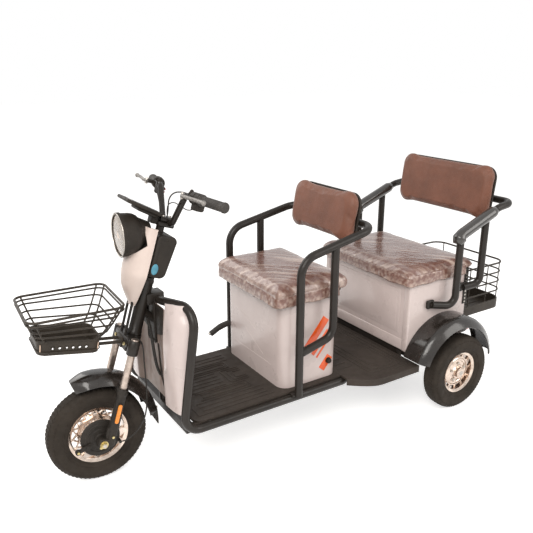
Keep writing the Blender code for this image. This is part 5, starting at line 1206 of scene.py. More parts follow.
def cast_rear_rims():
    """Cast rims: twelve slots near the edge round a stepped dish, and a capped hub."""
    for side, sign in SIDES:
        centre = rear_hub(sign)
        parts = [barrel(centre, 0.103)]
        dish = [(0.0085, 0.02), (0.031, 0.02), (0.0335, 0.016), (0.048, 0.012),
                (0.051, 0.015), (0.06, 0.014), (0.064, 0.0105), (0.068, 0.0105),
                (0.068, -0.006), (0.031, -0.006), (0.031, -0.073), (0.0085, -0.073),
                (0.0085, 0.02)]
        dish = [(r, y * sign) for r, y in dish]
        parts.append(turned(dish, centre, LEFTWARD, CHROME, 72))
        bar = plank(spot_on_wheel(centre, 0.0665, 0.0, 0.003 * sign),
                    spot_on_wheel(centre, 0.0835, 0.0, 0.003 * sign), 0.012, 0.012,
                    LEFTWARD, CHROME, 0.002)
        parts.append(around(bar, 12, centre, LEFTWARD))
        cap = [(0.0085, 0.0365), (0.02, 0.0365), (0.0235, 0.034), (0.025, 0.028),
               (0.025, 0.0195), (0.0085, 0.0195), (0.0085, 0.0365)]
        parts.append(turned([(r, y * sign) for r, y in cap], centre, LEFTWARD, CHROME,
                            48))
        bolt = hexagon(spot_on_wheel(centre, 0.0405, 0.0, 0.012 * sign),
                       spot_on_wheel(centre, 0.0405, 0.0, 0.0195 * sign), 0.0068, STEEL)
        parts.append(around(bolt, 5, centre, LEFTWARD))
        parts.append(hexagon(centre + Vector((0.0, 0.03 * sign, 0.0)),
                             centre + Vector((0.0, 0.0368 * sign, 0.0)), 0.0125, STEEL))
        piece("rear_cast_rim_" + side, "rear_%s_wheel" % side, parts,
              ["rear_%s_rim" % side])


def make_wheels():
    vulcanise("front_ribbed_tyre", "front_wheel", FRONT_HUB, FRONT_WHEEL_R, 0.105, 0.04, "front_tyre",
              TURNED)
    for side, sign in SIDES:
        centre = rear_hub(sign)
        vulcanise("rear_ribbed_tyre_" + side, "rear_%s_wheel" % side, centre, REAR_WHEEL_R, 0.09, 0.041,
                  "rear_%s_tyre" % side)
    cast_front_rim()
    cast_rear_rims()


# Fork
def build_fork_legs():
    for side, sign in SIDES:
        y = LEG_Y * sign
        low = fork(LEG_AHEAD, y, -0.01)
        along = (fork(LEG_AHEAD, y, 1.0) - fork(LEG_AHEAD, y, 0.0)).normalized()
        section = [(0.0, 0.0), (0.012, 0.0), (0.017, 0.004), (0.0185, 0.01), (0.0185, 0.12),
                   (0.0172, 0.126), (0.0172, 0.196), (0.0196, 0.2), (0.02, 0.204),
                   (0.02, 0.216), (0.0185, 0.2195), (0.0136, 0.2205), (0.0, 0.2205)]
        slider = turned(section, low, along, CASTING_BLACK, 40)
        lug = block((0.025, y - 0.0184, -0.019), (0.07, y + 0.0184, 0.019), CASTING_BLACK, 0.008,
                    4)
        web = block((0.03, y - 0.01, 0.012), (0.048, y + 0.01, 0.06), CASTING_BLACK, 0.006, 3)
        moved(FORK, lug, web)
        parts = [slider, lug, web]
        # drain bolt and the bridge that carries the fender
        parts.append(hexagon(fork(LEG_AHEAD, y + 0.017 * sign, 0.03),
                             fork(LEG_AHEAD, y + 0.0225 * sign, 0.03), 0.0052))
        parts.append(hexagon(fork(0.06, y + 0.017 * sign, -0.012),
                             fork(0.06, y + 0.0215 * sign, -0.012), 0.0058))
        piece("fork_slider_" + side, "steering", parts, ["fork_leg_" + side])
        tube = [rod(fork(LEG_AHEAD, y, 0.208), fork(LEG_AHEAD, y, 0.3965), 0.0135, SILVER, 40,
                    edge=0.002)]
        piece("fork_tube_" + side, "steering", tube)
        # reflector on a clip
        plate = block((0.018, 0.104 * sign - 0.0018, 0.082), (0.037, 0.104 * sign + 0.0018, 0.158),
                      DULL_BLACK, 0.0016)
        glass = side_block(sign, (0.0205, 0.105, 0.084), (0.0345, 0.1086, 0.156), AMBER)
        round_edges(glass, lambda a, b: abs(a.y - b.y) > 0.002, 0.0064, 5)
        dress(glass, AMBER)
        moved(FORK, plate, glass)
        piece("reflector_" + side, "steering", [plate, glass])


def build_front_axle():
    centre = FORK @ Vector((AXLE_AHEAD, 0.0, 0.0))
    way = FORK.to_3x3() @ Vector(LEFTWARD)
    plate = [(0.0076, 0.0455), (0.0705, 0.0455), (0.072, 0.0475), (0.072, 0.0505),
             (0.069, 0.054), (0.06, 0.0552), (0.058, 0.058), (0.052, 0.0588),
             (0.0505, 0.0572), (0.04, 0.0572), (0.0385, 0.0592), (0.033, 0.06),
             (0.0235, 0.0602), (0.0215, 0.0628), (0.0195, 0.0674), (0.0076, 0.0674),
             (0.0076, 0.0455)]
    dark = [turned(plate, centre, way, CASTING_BLACK, 72)]
    # cam spindle boss and the inspection plug
    for ahead, up, radius, high in ((0.09, -0.033, 0.0105, 0.0672), (0.02, 0.04, 0.0075,
                                                                     0.061)):
        dark.append(rod(fork(ahead, 0.054, up), fork(ahead, high, up), radius, CASTING_BLACK, 24,
                        radius * 0.86, edge=0.0015))
    metal = [rod(fork(AXLE_AHEAD, -0.1167, 0.0), fork(AXLE_AHEAD, 0.1167, 0.0), 0.0075, STEEL, 24,
                 edge=0.0012),
             rod(fork(AXLE_AHEAD, -0.0303, 0.0), fork(AXLE_AHEAD, -0.0673, 0.0), 0.013, STEEL, 32)]
    brass = []
    for sign in (1, -1):
        brass.append(hexagon(fork(AXLE_AHEAD, 0.1062 * sign, 0.0), fork(AXLE_AHEAD, 0.1142 * sign, 0.0),
                             0.0118))
        brass.append(rod(fork(AXLE_AHEAD, 0.1046 * sign, 0.0), fork(AXLE_AHEAD, 0.1064 * sign, 0.0),
                         0.0145, ZINC, 32))
    dark.append(plank(fork(0.078, 0.06, -0.022), fork(0.128, 0.06, -0.057), 0.017, 0.006,
                      way, CASTING_BLACK, 0.0022))
    dark.append(rod(fork(0.123, 0.0545, -0.0535), fork(0.123, 0.066, -0.0535), 0.0105,
                    CASTING_BLACK, 24, edge=0.0015))
    dark.append(plank(fork(0.03, 0.064, 0.002), fork(-0.015, 0.076, 0.006), 0.013, 0.005,
                      way, CASTING_BLACK, 0.0018))
    dark.append(rod(fork(-0.012, 0.07, 0.0055), fork(-0.012, 0.093, 0.0055), 0.0052,
                    CASTING_BLACK, 20, edge=0.001))
    metal.append(rod(fork(0.123, 0.066, -0.0535), fork(0.123, 0.07, -0.0535), 0.0052, ZINC, 20,
                     edge=0.0008))
    piece("front_brake_plate", "steering", dark, ["front_axle"])
    piece("front_axle_steel", "steering", metal)
    piece("front_axle_nuts", "steering", brass)


def build_crown():
    parts = [block((0.003, -0.068, 0.341), (0.047, 0.068, 0.389), FRAME_BLACK, 0.006, 3)]
    for sign in (1, -1):
        parts.append(turned([(0.0136, 0.338), (0.0195, 0.338), (0.021, 0.34), (0.021, 0.39),
                             (0.0195, 0.392), (0.0136, 0.392), (0.0136, 0.338)],
                            (0.025, LEG_Y * sign, 0.0), UPWARD, FRAME_BLACK, 36))
        parts.append(hexagon((0.044, 0.05 * sign, 0.365), (0.0515, 0.05 * sign, 0.365), 0.007))
        parts.append(rod((0.044, 0.072 * sign, 0.365), (0.048, 0.072 * sign, 0.365), 0.006,
                         FRAME_BLACK, 20))
        parts.append(rod((0.041, 0.022 * sign, 0.384), (0.047, 0.022 * sign, 0.6996), 0.005,
                         FRAME_BLACK, 16))
    parts.append(turned([(0.0, 0.339), (0.028, 0.339), (0.028, 0.3905), (0.0, 0.3905)],
                        ORIGIN, UPWARD, FRAME_BLACK, 40))
    parts.append(rod((0.0, 0.0, 0.385), (0.0, 0.0, 0.834), 0.015, FRAME_BLACK, 32))
    parts.append(turned([(0.015, 0.6003), (0.024, 0.6003), (0.024, 0.609), (0.02, 0.613),
                         (0.02, 0.618), (0.015, 0.618), (0.015, 0.6003)], ORIGIN,
                        UPWARD, FRAME_BLACK, 36))
    # bar clamp in two halves, with its four bolts
    parts.append(block((-0.041, -0.028, 0.8), (0.02, 0.028, 0.8165), FRAME_BLACK, 0.004, 3))
    parts.append(block((-0.04, -0.028, 0.8185), (0.016, 0.028, 0.836), FRAME_BLACK, 0.006, 3))
    for x in (-0.035, 0.006):
        for sign in (1, -1):
            parts.append(hexagon((x, 0.019 * sign, 0.834), (x, 0.019 * sign, 0.84), 0.0048,
                                 STEEL))
    moved(FORK, *parts)
    piece("fork_yoke", "steering", parts, ["fork_crown"])


# Handlebar and its controls
def bar_point(y):
    share = (abs(y) - 0.125) / 0.22
    return Vector((-0.012 - 0.048 * share, y, 0.934 + 0.004 * share))


def on_bar(y, ahead=0.0, up=0.0):
    return FORK @ (bar_point(y) + Vector((ahead, 0.0, up)))


def bar_frame(y):
    """A frame on the bar's outer run: X along the bar outwards, Z up the stem."""
    sign = 1.0 if y > 0.0 else -1.0
    along = (bar_point(sign * 0.345) - bar_point(sign * 0.125)).normalized()
    ahead = Vector(UPWARD).cross(along).normalized() * -sign
    up = along.cross(ahead) * (-1.0 if along.cross(ahead).z < 0.0 else 1.0)
    return FORK @ Matrix.Translation(bar_point(y)) @ Matrix((along, ahead, up)).transposed().to_4x4()


def make_handlebar():
    end = 0.341
    left = [bar_point(end), bar_point(0.125), Vector((-0.022, 0.045, 0.818))]
    right = [Vector((p.x, -p.y, p.z)) for p in reversed(left)]
    bar = pipe(bent(left + right, (0.03, 0.03, 0.03, 0.03), 12), 0.011, FRAME_BLACK, 24)
    parts = [bar]
    for sign in (1, -1):
        # short studs on the shoulders, where mirrors would screw in
        spot = bar_point(0.152 * sign) + Vector((0.0, 0.0, 0.006))
        parts.append(rod(spot, spot + Vector((0.0, 0.0, 0.01)), 0.0095, DULL_BLACK, 24,
                         edge=0.0015))
        parts.append(ball(spot + Vector((0.0, 0.0, 0.0125)), 0.0072, DULL_BLACK))
    moved(FORK, *parts)
    piece("bent_handlebar", "steering", parts, ["handlebar"])


def make_grips():
    for side, sign in SIDES:
        section = [(0.0112, 0.0), (0.02, 0.0), (0.0205, 0.003), (0.017, 0.005)]
        at = 0.008
        while at < 0.112:
            section += [(0.0158, at), (0.0165, at + 0.0012), (0.0165, at + 0.0034),
                        (0.0158, at + 0.0046)]
            at += 0.0062
        section += [(0.0168, 0.116), (0.018, 0.12), (0.0176, 0.125), (0.014, 0.129),
                    (0.0, 0.13)]
        inner = on_bar(0.2165 * sign)
        outer = on_bar(0.345 * sign)
        grip = turned(section, inner, outer - inner, GRIP_RUBBER, 40)
        piece("ribbed_grip_" + side, "steering", [grip], ["grip_" + side])


def make_hand_controls():
    for side, sign in SIDES:
        inner = on_bar(0.166 * sign)
        outer = on_bar(0.2155 * sign)
        along = outer - inner
        wide = 0.0235 if side == "right" else 0.0205
        pod = turned([(0.0112, 0.0), (wide - 0.003, 0.0), (wide, 0.003), (wide, 0.023),
                      (wide - 0.001, 0.024), (wide - 0.001, 0.0255), (wide, 0.0265),
                      (wide, 0.0465), (wide - 0.003, 0.0495), (0.0112, 0.0495)], inner, along,
                     DULL_BLACK, 40)
        place = bar_frame(0.19 * sign)
        # the switch housing hangs below and behind the clamp
        body = block((-0.02, -0.026, -0.04), (0.018, 0.006, -0.006), DULL_BLACK, 0.006, 3)
        face = block((-0.016, -0.0285, -0.036), (0.014, -0.0245, -0.01), DULL_BLACK, 0.002)
        moved(place, body, face)
        parts = [pod, body, face]
        # brake lever on its perch, out to a ball end
        perch = plank(on_bar(0.182 * sign, 0.012, 0.0),
                      on_bar(0.186 * sign, 0.054, -0.001), 0.02,
                      0.015, STEM, DULL_BLACK, 0.004)
        line = []
        for y, lead in ((0.172, 0.046), (0.2, 0.058), (0.245, 0.058), (0.285, 0.06),
                        (0.326, 0.068)):
            line.append(on_bar(y * sign, lead, -0.001))
        blade = pipe(smooth_line(line, 8), 0.005, ALLOY, 14)
        for vertex in blade.data.vertices:
            # wider than it is thick
            local = FORK.inverted() @ vertex.co
            local.z = 0.9345 + (local.z - 0.9345) * 1.25
            vertex.co = FORK @ local
        tip = ball(line[-1], 0.0085, ALLOY)
        pivot_bolt = rod(on_bar(0.178 * sign, 0.048, -0.012),
                         on_bar(0.178 * sign, 0.048, 0.01), 0.0055,
                         STEEL, 20, edge=0.001)
        piece("switch_pod_" + side, "steering", parts + [perch],
              ["control_" + side])
        piece("brake_lever_" + side, "steering", [blade, tip, pivot_bolt])
        buttons = []
        for x, z in ((-0.009, -0.017), (0.006, -0.017), (-0.002, -0.029)):
            buttons.append(block((x - 0.0045, -0.0325, z - 0.0035), (x + 0.0045, -0.028, z + 0.0035),
                                 RED if side == "right" else STEEL, 0.0012))
        moved(place, *buttons)
        piece("switch_buttons_" + side, "steering", buttons)


def make_panel():
    place = FORK @ Matrix.Translation((0.024, 0.0, 0.836)) @ Matrix.Rotation(-radians(11.0), 4, "Y")
    shell = block((0.0, -0.06, 0.0), (0.14, 0.06, 0.0125), DULL_BLACK, 0.006, 4)
    glass = block((0.016, -0.046, 0.0105), (0.12, 0.046, 0.014), SCREEN, 0.002, 3)
    under = block((0.01, -0.045, -0.012), (0.085, 0.045, 0.002), DULL_BLACK, 0.006, 3)
    moved(place, shell, glass, under)
    neck = block((0.0203, -0.022, 0.804), (0.046, 0.022, 0.848), DULL_BLACK, 0.004, 3)
    moved(FORK, neck)
    piece("speed_panel", "steering", [shell, glass, under, neck],
          ["instrument_panel"])


def shroud_half(up):
    share = (up - 0.502) / 0.273
    return 0.021 + 0.048 * min(1.0, max(0.0, share) / 0.42) ** 0.75


def lamp_ends():
    face = Vector(aft(0.14, 0.0, 0.913))
    return face - Vector((LAMP_DEPTH, 0.0, 0.0)), face


def mould_shroud():
    def front(u, v):
        up = 0.502 + v * 0.29
        turn = (u - 0.5) * pi
        bulge = 0.0705 * (0.62 + 0.38 * sin(pi * v)) * (1.0 - 0.62 * (1.0 - min(1.0, v / 0.3)) ** 2)
        return Vector((0.031 + bulge * max(0.0, cos(turn)) ** 0.8, shroud_half(up) * sin(turn),
                       up))
    shell = skin(48, 40, front, SHROUD_WHITE, 0.003)
    moved(FORK, shell)
    back, face = lamp_ends()
    bpy.ops.mesh.primitive_cylinder_add(vertices=64, radius=0.0745, depth=0.086,
                                        rotation=(0.0, pi / 2.0, 0.0),
                                        location=TURNED @ ((back + face) / 2.0))
    hole = bpy.context.object
    hole.rotation_euler = (TURNED.to_3x3() @ Vector(FORWARD)).to_track_quat(
        "Z", "Y").to_euler()
    bpy.context.view_layer.update()
    change(shell, "BOOLEAN", operation="DIFFERENCE", solver="EXACT", object=hole)
    bpy.data.objects.remove(hole, do_unlink=True)
    dress(shell, SHROUD_WHITE, 40.0)
    rim = pipe([FORK @ front(u, 0.0) for u in [i / 24 for i in range(25)]], 0.002, SHROUD_WHITE, 8)
    piece("column_shroud", "steering", [shell, rim], ["steering_shroud"])
    cover = block((-0.05, -0.069, COVER_FOOT_Z), (0.024, 0.069, 0.776), DULL_BLACK)
    round_edges(cover, lambda a, b: abs(a.y - b.y) > 0.05, 0.02, 6)
    ease(cover, 0.007, 3)
    for vertex in cover.data.vertices:
        # the back leans in towards the foot
        low = max(0.0, 1.0 - (vertex.co.z - COVER_FOOT_Z) / 0.12)
        if vertex.co.x < 0.0:
            vertex.co.x += 0.016 * low
    dress(cover, DULL_BLACK)
    seam = pipe([(x, 0.0692, z) for x, z in ((-0.022, 0.634), (0.004, 0.634), (0.01, 0.646),
                                             (0.01, 0.748), (0.0, 0.76), (-0.03, 0.76))],
                0.001, DULL_BLACK, 6)
    moved(FORK, cover, seam)
    piece("column_box", "steering", [cover, seam], ["column_cover"])
    tab = ball(Vector((0.01, 0.0695, 0.652)), (0.0125, 0.003, 0.02), BLUE, 32)
    moved(FORK, tab)
    piece("cable_clip", "steering", [tab])


def make_headlamp():
    back, face = lamp_ends()
    way = Vector(FORWARD)
    depth = LAMP_DEPTH
    bucket = turned([(0.0, 0.0), (0.042, 0.001), (0.054, 0.004), (0.0635, 0.011),
                     (0.07, 0.022), (0.0735, 0.034), (0.076, depth - 0.012), (0.079, depth - 0.011),
                     (0.079, depth), (0.0765, depth + 0.0006), (0.0745, depth - 0.001),
                     (0.0735, depth - 0.006), (0.07, depth - 0.01), (0.0, depth - 0.012)],
                    back, way, DULL_BLACK, 72)
    bracket = block((0.0303, -0.028, 0.7), (0.07, 0.028, 0.75), DULL_BLACK, 0.004, 3)
    moved(STRAIGHT, bracket)
    neck = rod(back + Vector((-0.03, 0.0, -0.004)), back + Vector((0.01, 0.0, 0.0)), 0.04,
               DULL_BLACK, 40, 0.056)
    moved(TURNED, bucket, bracket, neck)
    piece("lamp_bucket", "steering", [bucket, bracket, neck], ["headlamp"])

    def lens_section():
        section = []
        for i in range(15):
            share = i / 14.0
            section.append((0.0735 * sin(share * pi / 2.0), -0.0055 + 0.0068 * cos(share * pi / 2.0)))
        return section + [(0.0735, -0.0075), (0.0, -0.0075)]
    lens = turned(lens_section(), face, way, LENS, 72)
    ribs = []
    for y in (-0.052, -0.039, -0.026, -0.013, 0.0, 0.013, 0.026, 0.039, 0.052):
        half = (0.0715 ** 2 - y ** 2) ** 0.5 * 0.93
        ribs.append(pipe([face + Vector((0.001 - 0.0068 * (1.0 - (1.0 - (y ** 2 + z ** 2)
                                                                  / 0.0735 ** 2) ** 0.5), y, z))
                          for z in [half * (i / 6.0 - 1.0) for i in range(13)]], 0.0007, LENS, 6))
    bulb = ball(face + Vector((-0.001, 0.0, 0.0)), (0.0032, 0.015, 0.017), CHROME)
    shade = [block(face + Vector((-0.006, y - 0.006, low)), face + Vector((-0.001, y + 0.006, high)),
                   DULL_BLACK, 0.002) for y, low, high in ((0.034, -0.036, 0.04), (-0.03, -0.04, 0.03))]
    trim = pipe([face + Vector((0.0002, 0.0752 * cos(i * pi / 36), 0.0752 * sin(i * pi / 36)))
                 for i in range(72)], 0.002, STEEL, 8, True)
    moved(TURNED, lens, bulb, trim, *ribs, *shade)
    piece("lamp_glass", "steering", [lens] + ribs + shade + [bulb, trim],
          ["headlamp_lens"])


def make_front_fender():
    centre = FRONT_HUB + Vector((0.0, 0.0, 0.012))
    start, end = radians(70.0), radians(172.0)

    def guard(u, v):
        angle = start + v * (end - start)
        across = (u - 0.5) * 2.0
        tip = min(1.0, 0.42 + v / 0.2)
        radius = 0.228 - 0.034 * abs(across) ** 3 - 0.01 * (1.0 - tip)
        return centre + Vector((radius * cos(angle), 0.058 * across * tip ** 0.6,
                                radius * sin(angle)))
    shell = skin(24, 48, guard, GLOSS_BLACK, 0.003, flip=True)
    parts = [shell]
    for u in (0.0, 1.0):
        parts.append(pipe([guard(u, i / 32.0) + Vector((0.0, 0.0006 - 0.0012 * u, 0.0))
                           for i in range(33)], 0.0024, GLOSS_BLACK, 8))
    parts.append(pipe([guard(i / 16.0, 0.0) for i in range(17)], 0.0024, GLOSS_BLACK, 8))
    tail = centre + Vector((0.228 * cos(end), 0.0, 0.228 * sin(end)))
    flap = skin(12, 8, lambda u, v: tail + Vector((0.0012 - 0.003 * sin(v * 2.2),
                                                   (u - 0.5) * 0.074,
                                                   0.012 - 0.072 * v)), RUBBER, 0.003)
    parts.append(flap)
    for y in (-0.022, 0.022):
        parts.append(rod(tail + Vector((-0.0045, y, 0.004)), tail + Vector((0.004, y, 0.004)),
                         0.0048, STEEL, 16))
    for sign in (1, -1):
        stay = side_block(sign, (0.01, 0.046, 0.186), (0.04, 0.067, 0.212), FRAME_BLACK, 0.003)
        moved(STRAIGHT, stay)
        bolt = hexagon((0.022, 0.0565 * sign, 0.21), (0.022, 0.0565 * sign, 0.216), 0.0055)
        moved(STRAIGHT, bolt)
        parts += [stay, bolt]
    moved(TURNED, *parts)
    piece("front_mudguard", "steering", parts, ["front_fender"])


# Baskets
def rounded_loop(half_length, half_width, corner, centre, steps=5):
    spots = []
    for quarter, (sx, sy) in enumerate(((1, 1), (-1, 1), (-1, -1), (1, -1))):
        for i in range(steps + 1):
            turn = (quarter + i / steps) * pi / 2.0
            spots.append(Vector((centre[0] + sx * (half_length - corner) + corner * cos(turn),
                                 centre[1] + sy * (half_width - corner) + corner * sin(turn),
                                 centre[2])))
    return spots


def front_ring(share, steps=5):
    grown = share ** 0.8
    front = 0.178 + grown * 0.032
    back = 0.03 + grown * 0.078
    half_width = 0.082 + grown * 0.064
    ring = rounded_loop((front + back) / 2.0, half_width, 0.035,
                        (FRONT_AXLE_X + (front - back) / 2.0, 0.0, 0.0), steps)
    slope = 0.033 / 0.208
    for spot in ring:
        low = 0.575 + slope * (spot.x - behind(0.03))
        spot.z = low + (0.702 - low) * share
    return ring


def evenly(ring, count, start=0.0):
    """Places spread evenly round a closed ring."""
    lengths = [(b - a).length for a, b in zip(ring, ring[1:] + ring[:1])]
    total = sum(lengths)
    spots = []
    for i in range(count):
        reach = (start + i / count) % 1.0 * total
        for a, b, length in zip(ring, ring[1:] + ring[:1], lengths):
            if reach <= length:
                spots.append(a.lerp(b, reach / length))
                break
            reach -= length
    return spots


def weld_front_basket():
    rim = front_ring(1.0)
    parts = [pipe(rim, 0.0044, BASKET_BLACK, 12, True)]
    second = [p + Vector((0.0, 0.0, -0.0125)) for p in front_ring(0.985)]
    parts.append(pipe(second, 0.0034, BASKET_BLACK, 10, True))
    for share in (0.26, 0.5, 0.74):
        parts.append(pipe(front_ring(share), 0.0033, BASKET_BLACK, 10, True))
    shares = (-0.05, 0.26, 0.5, 0.74, 1.0)
    columns = [front_ring(max(0.0, share)) for share in shares]
    for i in (1, 4, 7, 10, 13, 16, 19, 22):
        parts.append(pipe([column[i] for column in columns], 0.0032, BASKET_BLACK, 8))
    # pressed tray with drain holes in its near side
    half_length = 0.104
    middle = Vector((FRONT_AXLE_X + 0.074, 0.0, 0.5915))
    pitch = Matrix.Rotation(-0.1573, 4, "Y")
    place = Matrix.Translation(middle) @ pitch
    reach, wide = half_length + 0.0027, 0.0847
    tray = upright_box((-reach, -wide, -0.046), (reach, wide, 0.0027), BASKET_BLACK, 0.03)
    for vertex in tray.data.vertices:
        # the walls draw in towards the foot
        if vertex.co.z < -0.02:
            vertex.co.x *= 0.965
            vertex.co.y *= 0.955
    drop_faces(tray, lambda face: abs(face.normal.z) > 0.9)
    change(tray, "SOLIDIFY", thickness=0.004, offset=-1.0)
    grid = [pipe([(x, -wide * 0.95, -0.0445), (x, wide * 0.95, -0.0445)], 0.0022, BASKET_BLACK, 8)
            for x in (-0.078, -0.039, 0.0, 0.039, 0.078)]
    grid += [pipe([(-reach * 0.96, y, -0.0425), (reach * 0.96, y, -0.0425)], 0.0022, BASKET_BLACK, 8)
             for y in (-0.045, 0.0, 0.045)]
    grid.append(block((-reach * 0.95, -wide * 0.93, -0.0455), (reach * 0.95, 0.004, -0.0425),
                      BASKET_BLACK, 0.001))
    moved(place, *grid)
    parts += grid
    drains = [(i - 2.5) * 0.022 for i in range(6)]
    lip = [(0.0046, -0.0008), (0.0064, -0.0008), (0.0064, 0.0012), (0.0046, 0.0012),
           (0.0046, -0.0008)]
    parts += moved(place, *[turned(lip, (x, wide, -0.021), LEFTWARD, BASKET_BLACK, 20)
                            for x in drains])
    holes = []
    for x in drains:
        bpy.ops.mesh.primitive_cylinder_add(vertices=20, radius=0.0046, depth=0.08,
                                            location=(x, 0.08, -0.021),
                                            rotation=(pi / 2.0, 0.0, 0.0))
        holes.append(bpy.context.object)
    cutter = joined(holes)
    change(tray, "BOOLEAN", operation="DIFFERENCE", solver="EXACT", object=cutter)
    bpy.data.objects.remove(cutter, do_unlink=True)
    dress(tray, BASKET_BLACK)
    bead = [Vector((p.x, p.y, 0.0)) for p in
            rounded_loop(reach + 0.0002, wide + 0.0002, 0.03, ORIGIN, 8)]
    for height, radius in ((0.002, 0.0032), (-0.0335, 0.002)):
        line = pipe([p + Vector((0.0, 0.0, height)) for p in bead], radius, BASKET_BLACK, 10, True)
        moved(place, line)
        parts.append(line)
    # pale strips at the tray's two ends: painted highlight on its rounded near corners
    for x in (-0.095, 0.095):
        lip = rod((x, 0.0775, -0.033), (x * 1.01, 0.0795, -0.008), 0.0019, BEIGE, 10, 0.0017)
        moved(place, lip)
        parts.append(lip)
    moved(place, tray)
    parts.append(tray)
    plate = block((0.0453, -0.03, 0.342), (0.051, 0.03, 0.38), BASKET_BLACK, 0.002)
    moved(STRAIGHT, plate)
    parts.append(plate)
    for sign in (1, -1):
        start = STRAIGHT @ Vector((0.05, 0.022 * sign, 0.362))
        end = place @ Vector((-reach + 0.006, 0.022 * sign, -0.038))
        parts.append(rod(start, end, 0.006, BASKET_BLACK, 16))
    moved(TURNED, *parts)
    piece("front_wire_basket", "steering", parts, ["front_basket"])


def weld_rear_basket():
    front = 1.6383
    half_length = (1.99 - front) / 2.0
    centre_x = behind(front + half_length)

    def ring(z, steps=6):
        return rounded_loop(half_length, 0.214, 0.055, (centre_x, 0.0, z), steps)
    parts = [pipe(ring(0.556), 0.0044, BASKET_BLACK, 12, True)]
    for z in (0.509, 0.462, 0.415):
        parts.append(pipe(ring(z), 0.0038, BASKET_BLACK, 10, True))
    for top, low in zip(evenly(ring(0.556), 12, 0.01), evenly(ring(0.345), 12, 0.01)):
        parts.append(pipe([top, low], 0.0026, BASKET_BLACK, 8))
    tray = open_top(upright_box((centre_x - half_length - 0.0027, -0.2167, 0.325),
                                (centre_x + half_length + 0.0027, 0.2167, 0.368),
                                BASKET_BLACK, 0.055), 0.004, 0.368)
    parts.append(tray)
    parts.append(pipe(ring(0.3675), 0.0034, BASKET_BLACK, 10, True))
    for i in range(7):
        y = (i - 3) * 0.056
        parts.append(plank((centre_x - 0.135, y, 0.329), (centre_x + 0.135, y, 0.329), 0.012,
                           0.0036, UPWARD, BASKET_BLACK, 0.0016))
    piece("rear_wire_basket", "chassis", parts, ["rear_basket"])
    # hooks that hang the basket on the box's back
    hooks = []
    for y in (-0.12, 0.12):
        hooks.append(block(aft(1.642, y - 0.014, 0.47), aft(1.6342, y + 0.014, 0.56),
                           FRAME_BLACK, 0.0015))
        hooks.append(hexagon(aft(1.642, y, 0.488), aft(1.6475, y, 0.488), 0.0065))
    piece("rear_basket_hooks", "chassis", hooks)


# Rear end
def form_rear_fenders():
    centre = Vector(aft(1.49, 0.0, 0.19))
    start, end = radians(20.0), radians(172.0)
    for side, sign in SIDES:
        def arch(u, v, sign=sign):
            angle = start + v * (end - start)
            roll = max(0.0, (u - 0.62) / 0.38)
            radius = 0.235 - 0.036 * roll ** 2.4
            return centre + Vector((radius * cos(angle), sign * (0.2873 + u * 0.1167),
                                    radius * sin(angle)))
        shell = skin(18, 60, arch, GLOSS_BLACK, 0.003, flip=sign > 0)
        lip = pipe([arch(1.0, i / 48.0) + Vector((0.0, -0.0024 * sign, 0.0)) for i in range(49)],
                   0.0024, GLOSS_BLACK, 8)
        nose = pipe([arch(i / 12.0, 0.0) for i in range(12)], 0.0026, GLOSS_BLACK, 8)
        tail = pipe([arch(i / 12.0, 1.0) for i in range(12)], 0.0026, GLOSS_BLACK, 8)
        flange = skin(8, 40, lambda u, v, sign=sign: centre + Vector((
            (0.2345 - 0.014 * u) * cos(start + v * (end - start)), sign * (0.2885 + 0.0005 * u),
            (0.2345 - 0.014 * u) * sin(start + v * (end - start)))), GLOSS_BLACK, 0.0012)
        piece("rear_mudguard_" + side, "chassis", [shell, lip, nose, tail, flange],
              ["rear_fender_" + side])


def hang_springs():
    for side, sign in SIDES:
        y = 0.2 * sign
        low = 0.1948
        rise = 0.2405 - 0.0003 - 0.014 - low

        def height(along):
            return low + rise * min(1.0, abs(along) * 1.06) ** 2
        parts = []
        for number, (share, top) in enumerate(((1.06, 0.014), (0.84, 0.0095), (0.58, 0.005))):
            def leaf(u, v, share=share, top=top, number=number):
                along = (v - 0.5) * 2.0 * share
                return Vector(aft(WHEELBASE + along * 0.165, y + (u - 0.5) * (0.045 - number * 0.001),
                                  height(along * 0.99) + top))
            parts.append(skin(2, 24, leaf, FRAME_BLACK, 0.0044 if number < 2 else 0.005))
        for at in (1.347, 1.677):
            parts.append(rod(aft(at, y - 0.024, 0.23), aft(at, y + 0.024, 0.23), 0.0085,
                             FRAME_BLACK, 20, edge=0.001))
        for at in (1.49, 1.534):
            loop = bent([aft(at, y - 0.027, 0.218), aft(at, y - 0.027, 0.136),
                         aft(at, y + 0.027, 0.136), aft(at, y + 0.027, 0.218)],
                        (0.024, 0.024), 8)
            parts.append(pipe(loop, 0.0045, STEEL, 12))
            for off in (-0.027, 0.027):
                parts.append(hexagon(aft(at, y + off, 0.213), aft(at, y + off, 0.22),
                                     0.0075))
        parts.append(block(aft(1.546, y - 0.034, 0.2085), aft(1.478, y + 0.034, 0.2135),
                           FRAME_BLACK, 0.002))
        piece("leaf_spring_pack_" + side, "chassis", parts, ["leaf_spring_" + side])


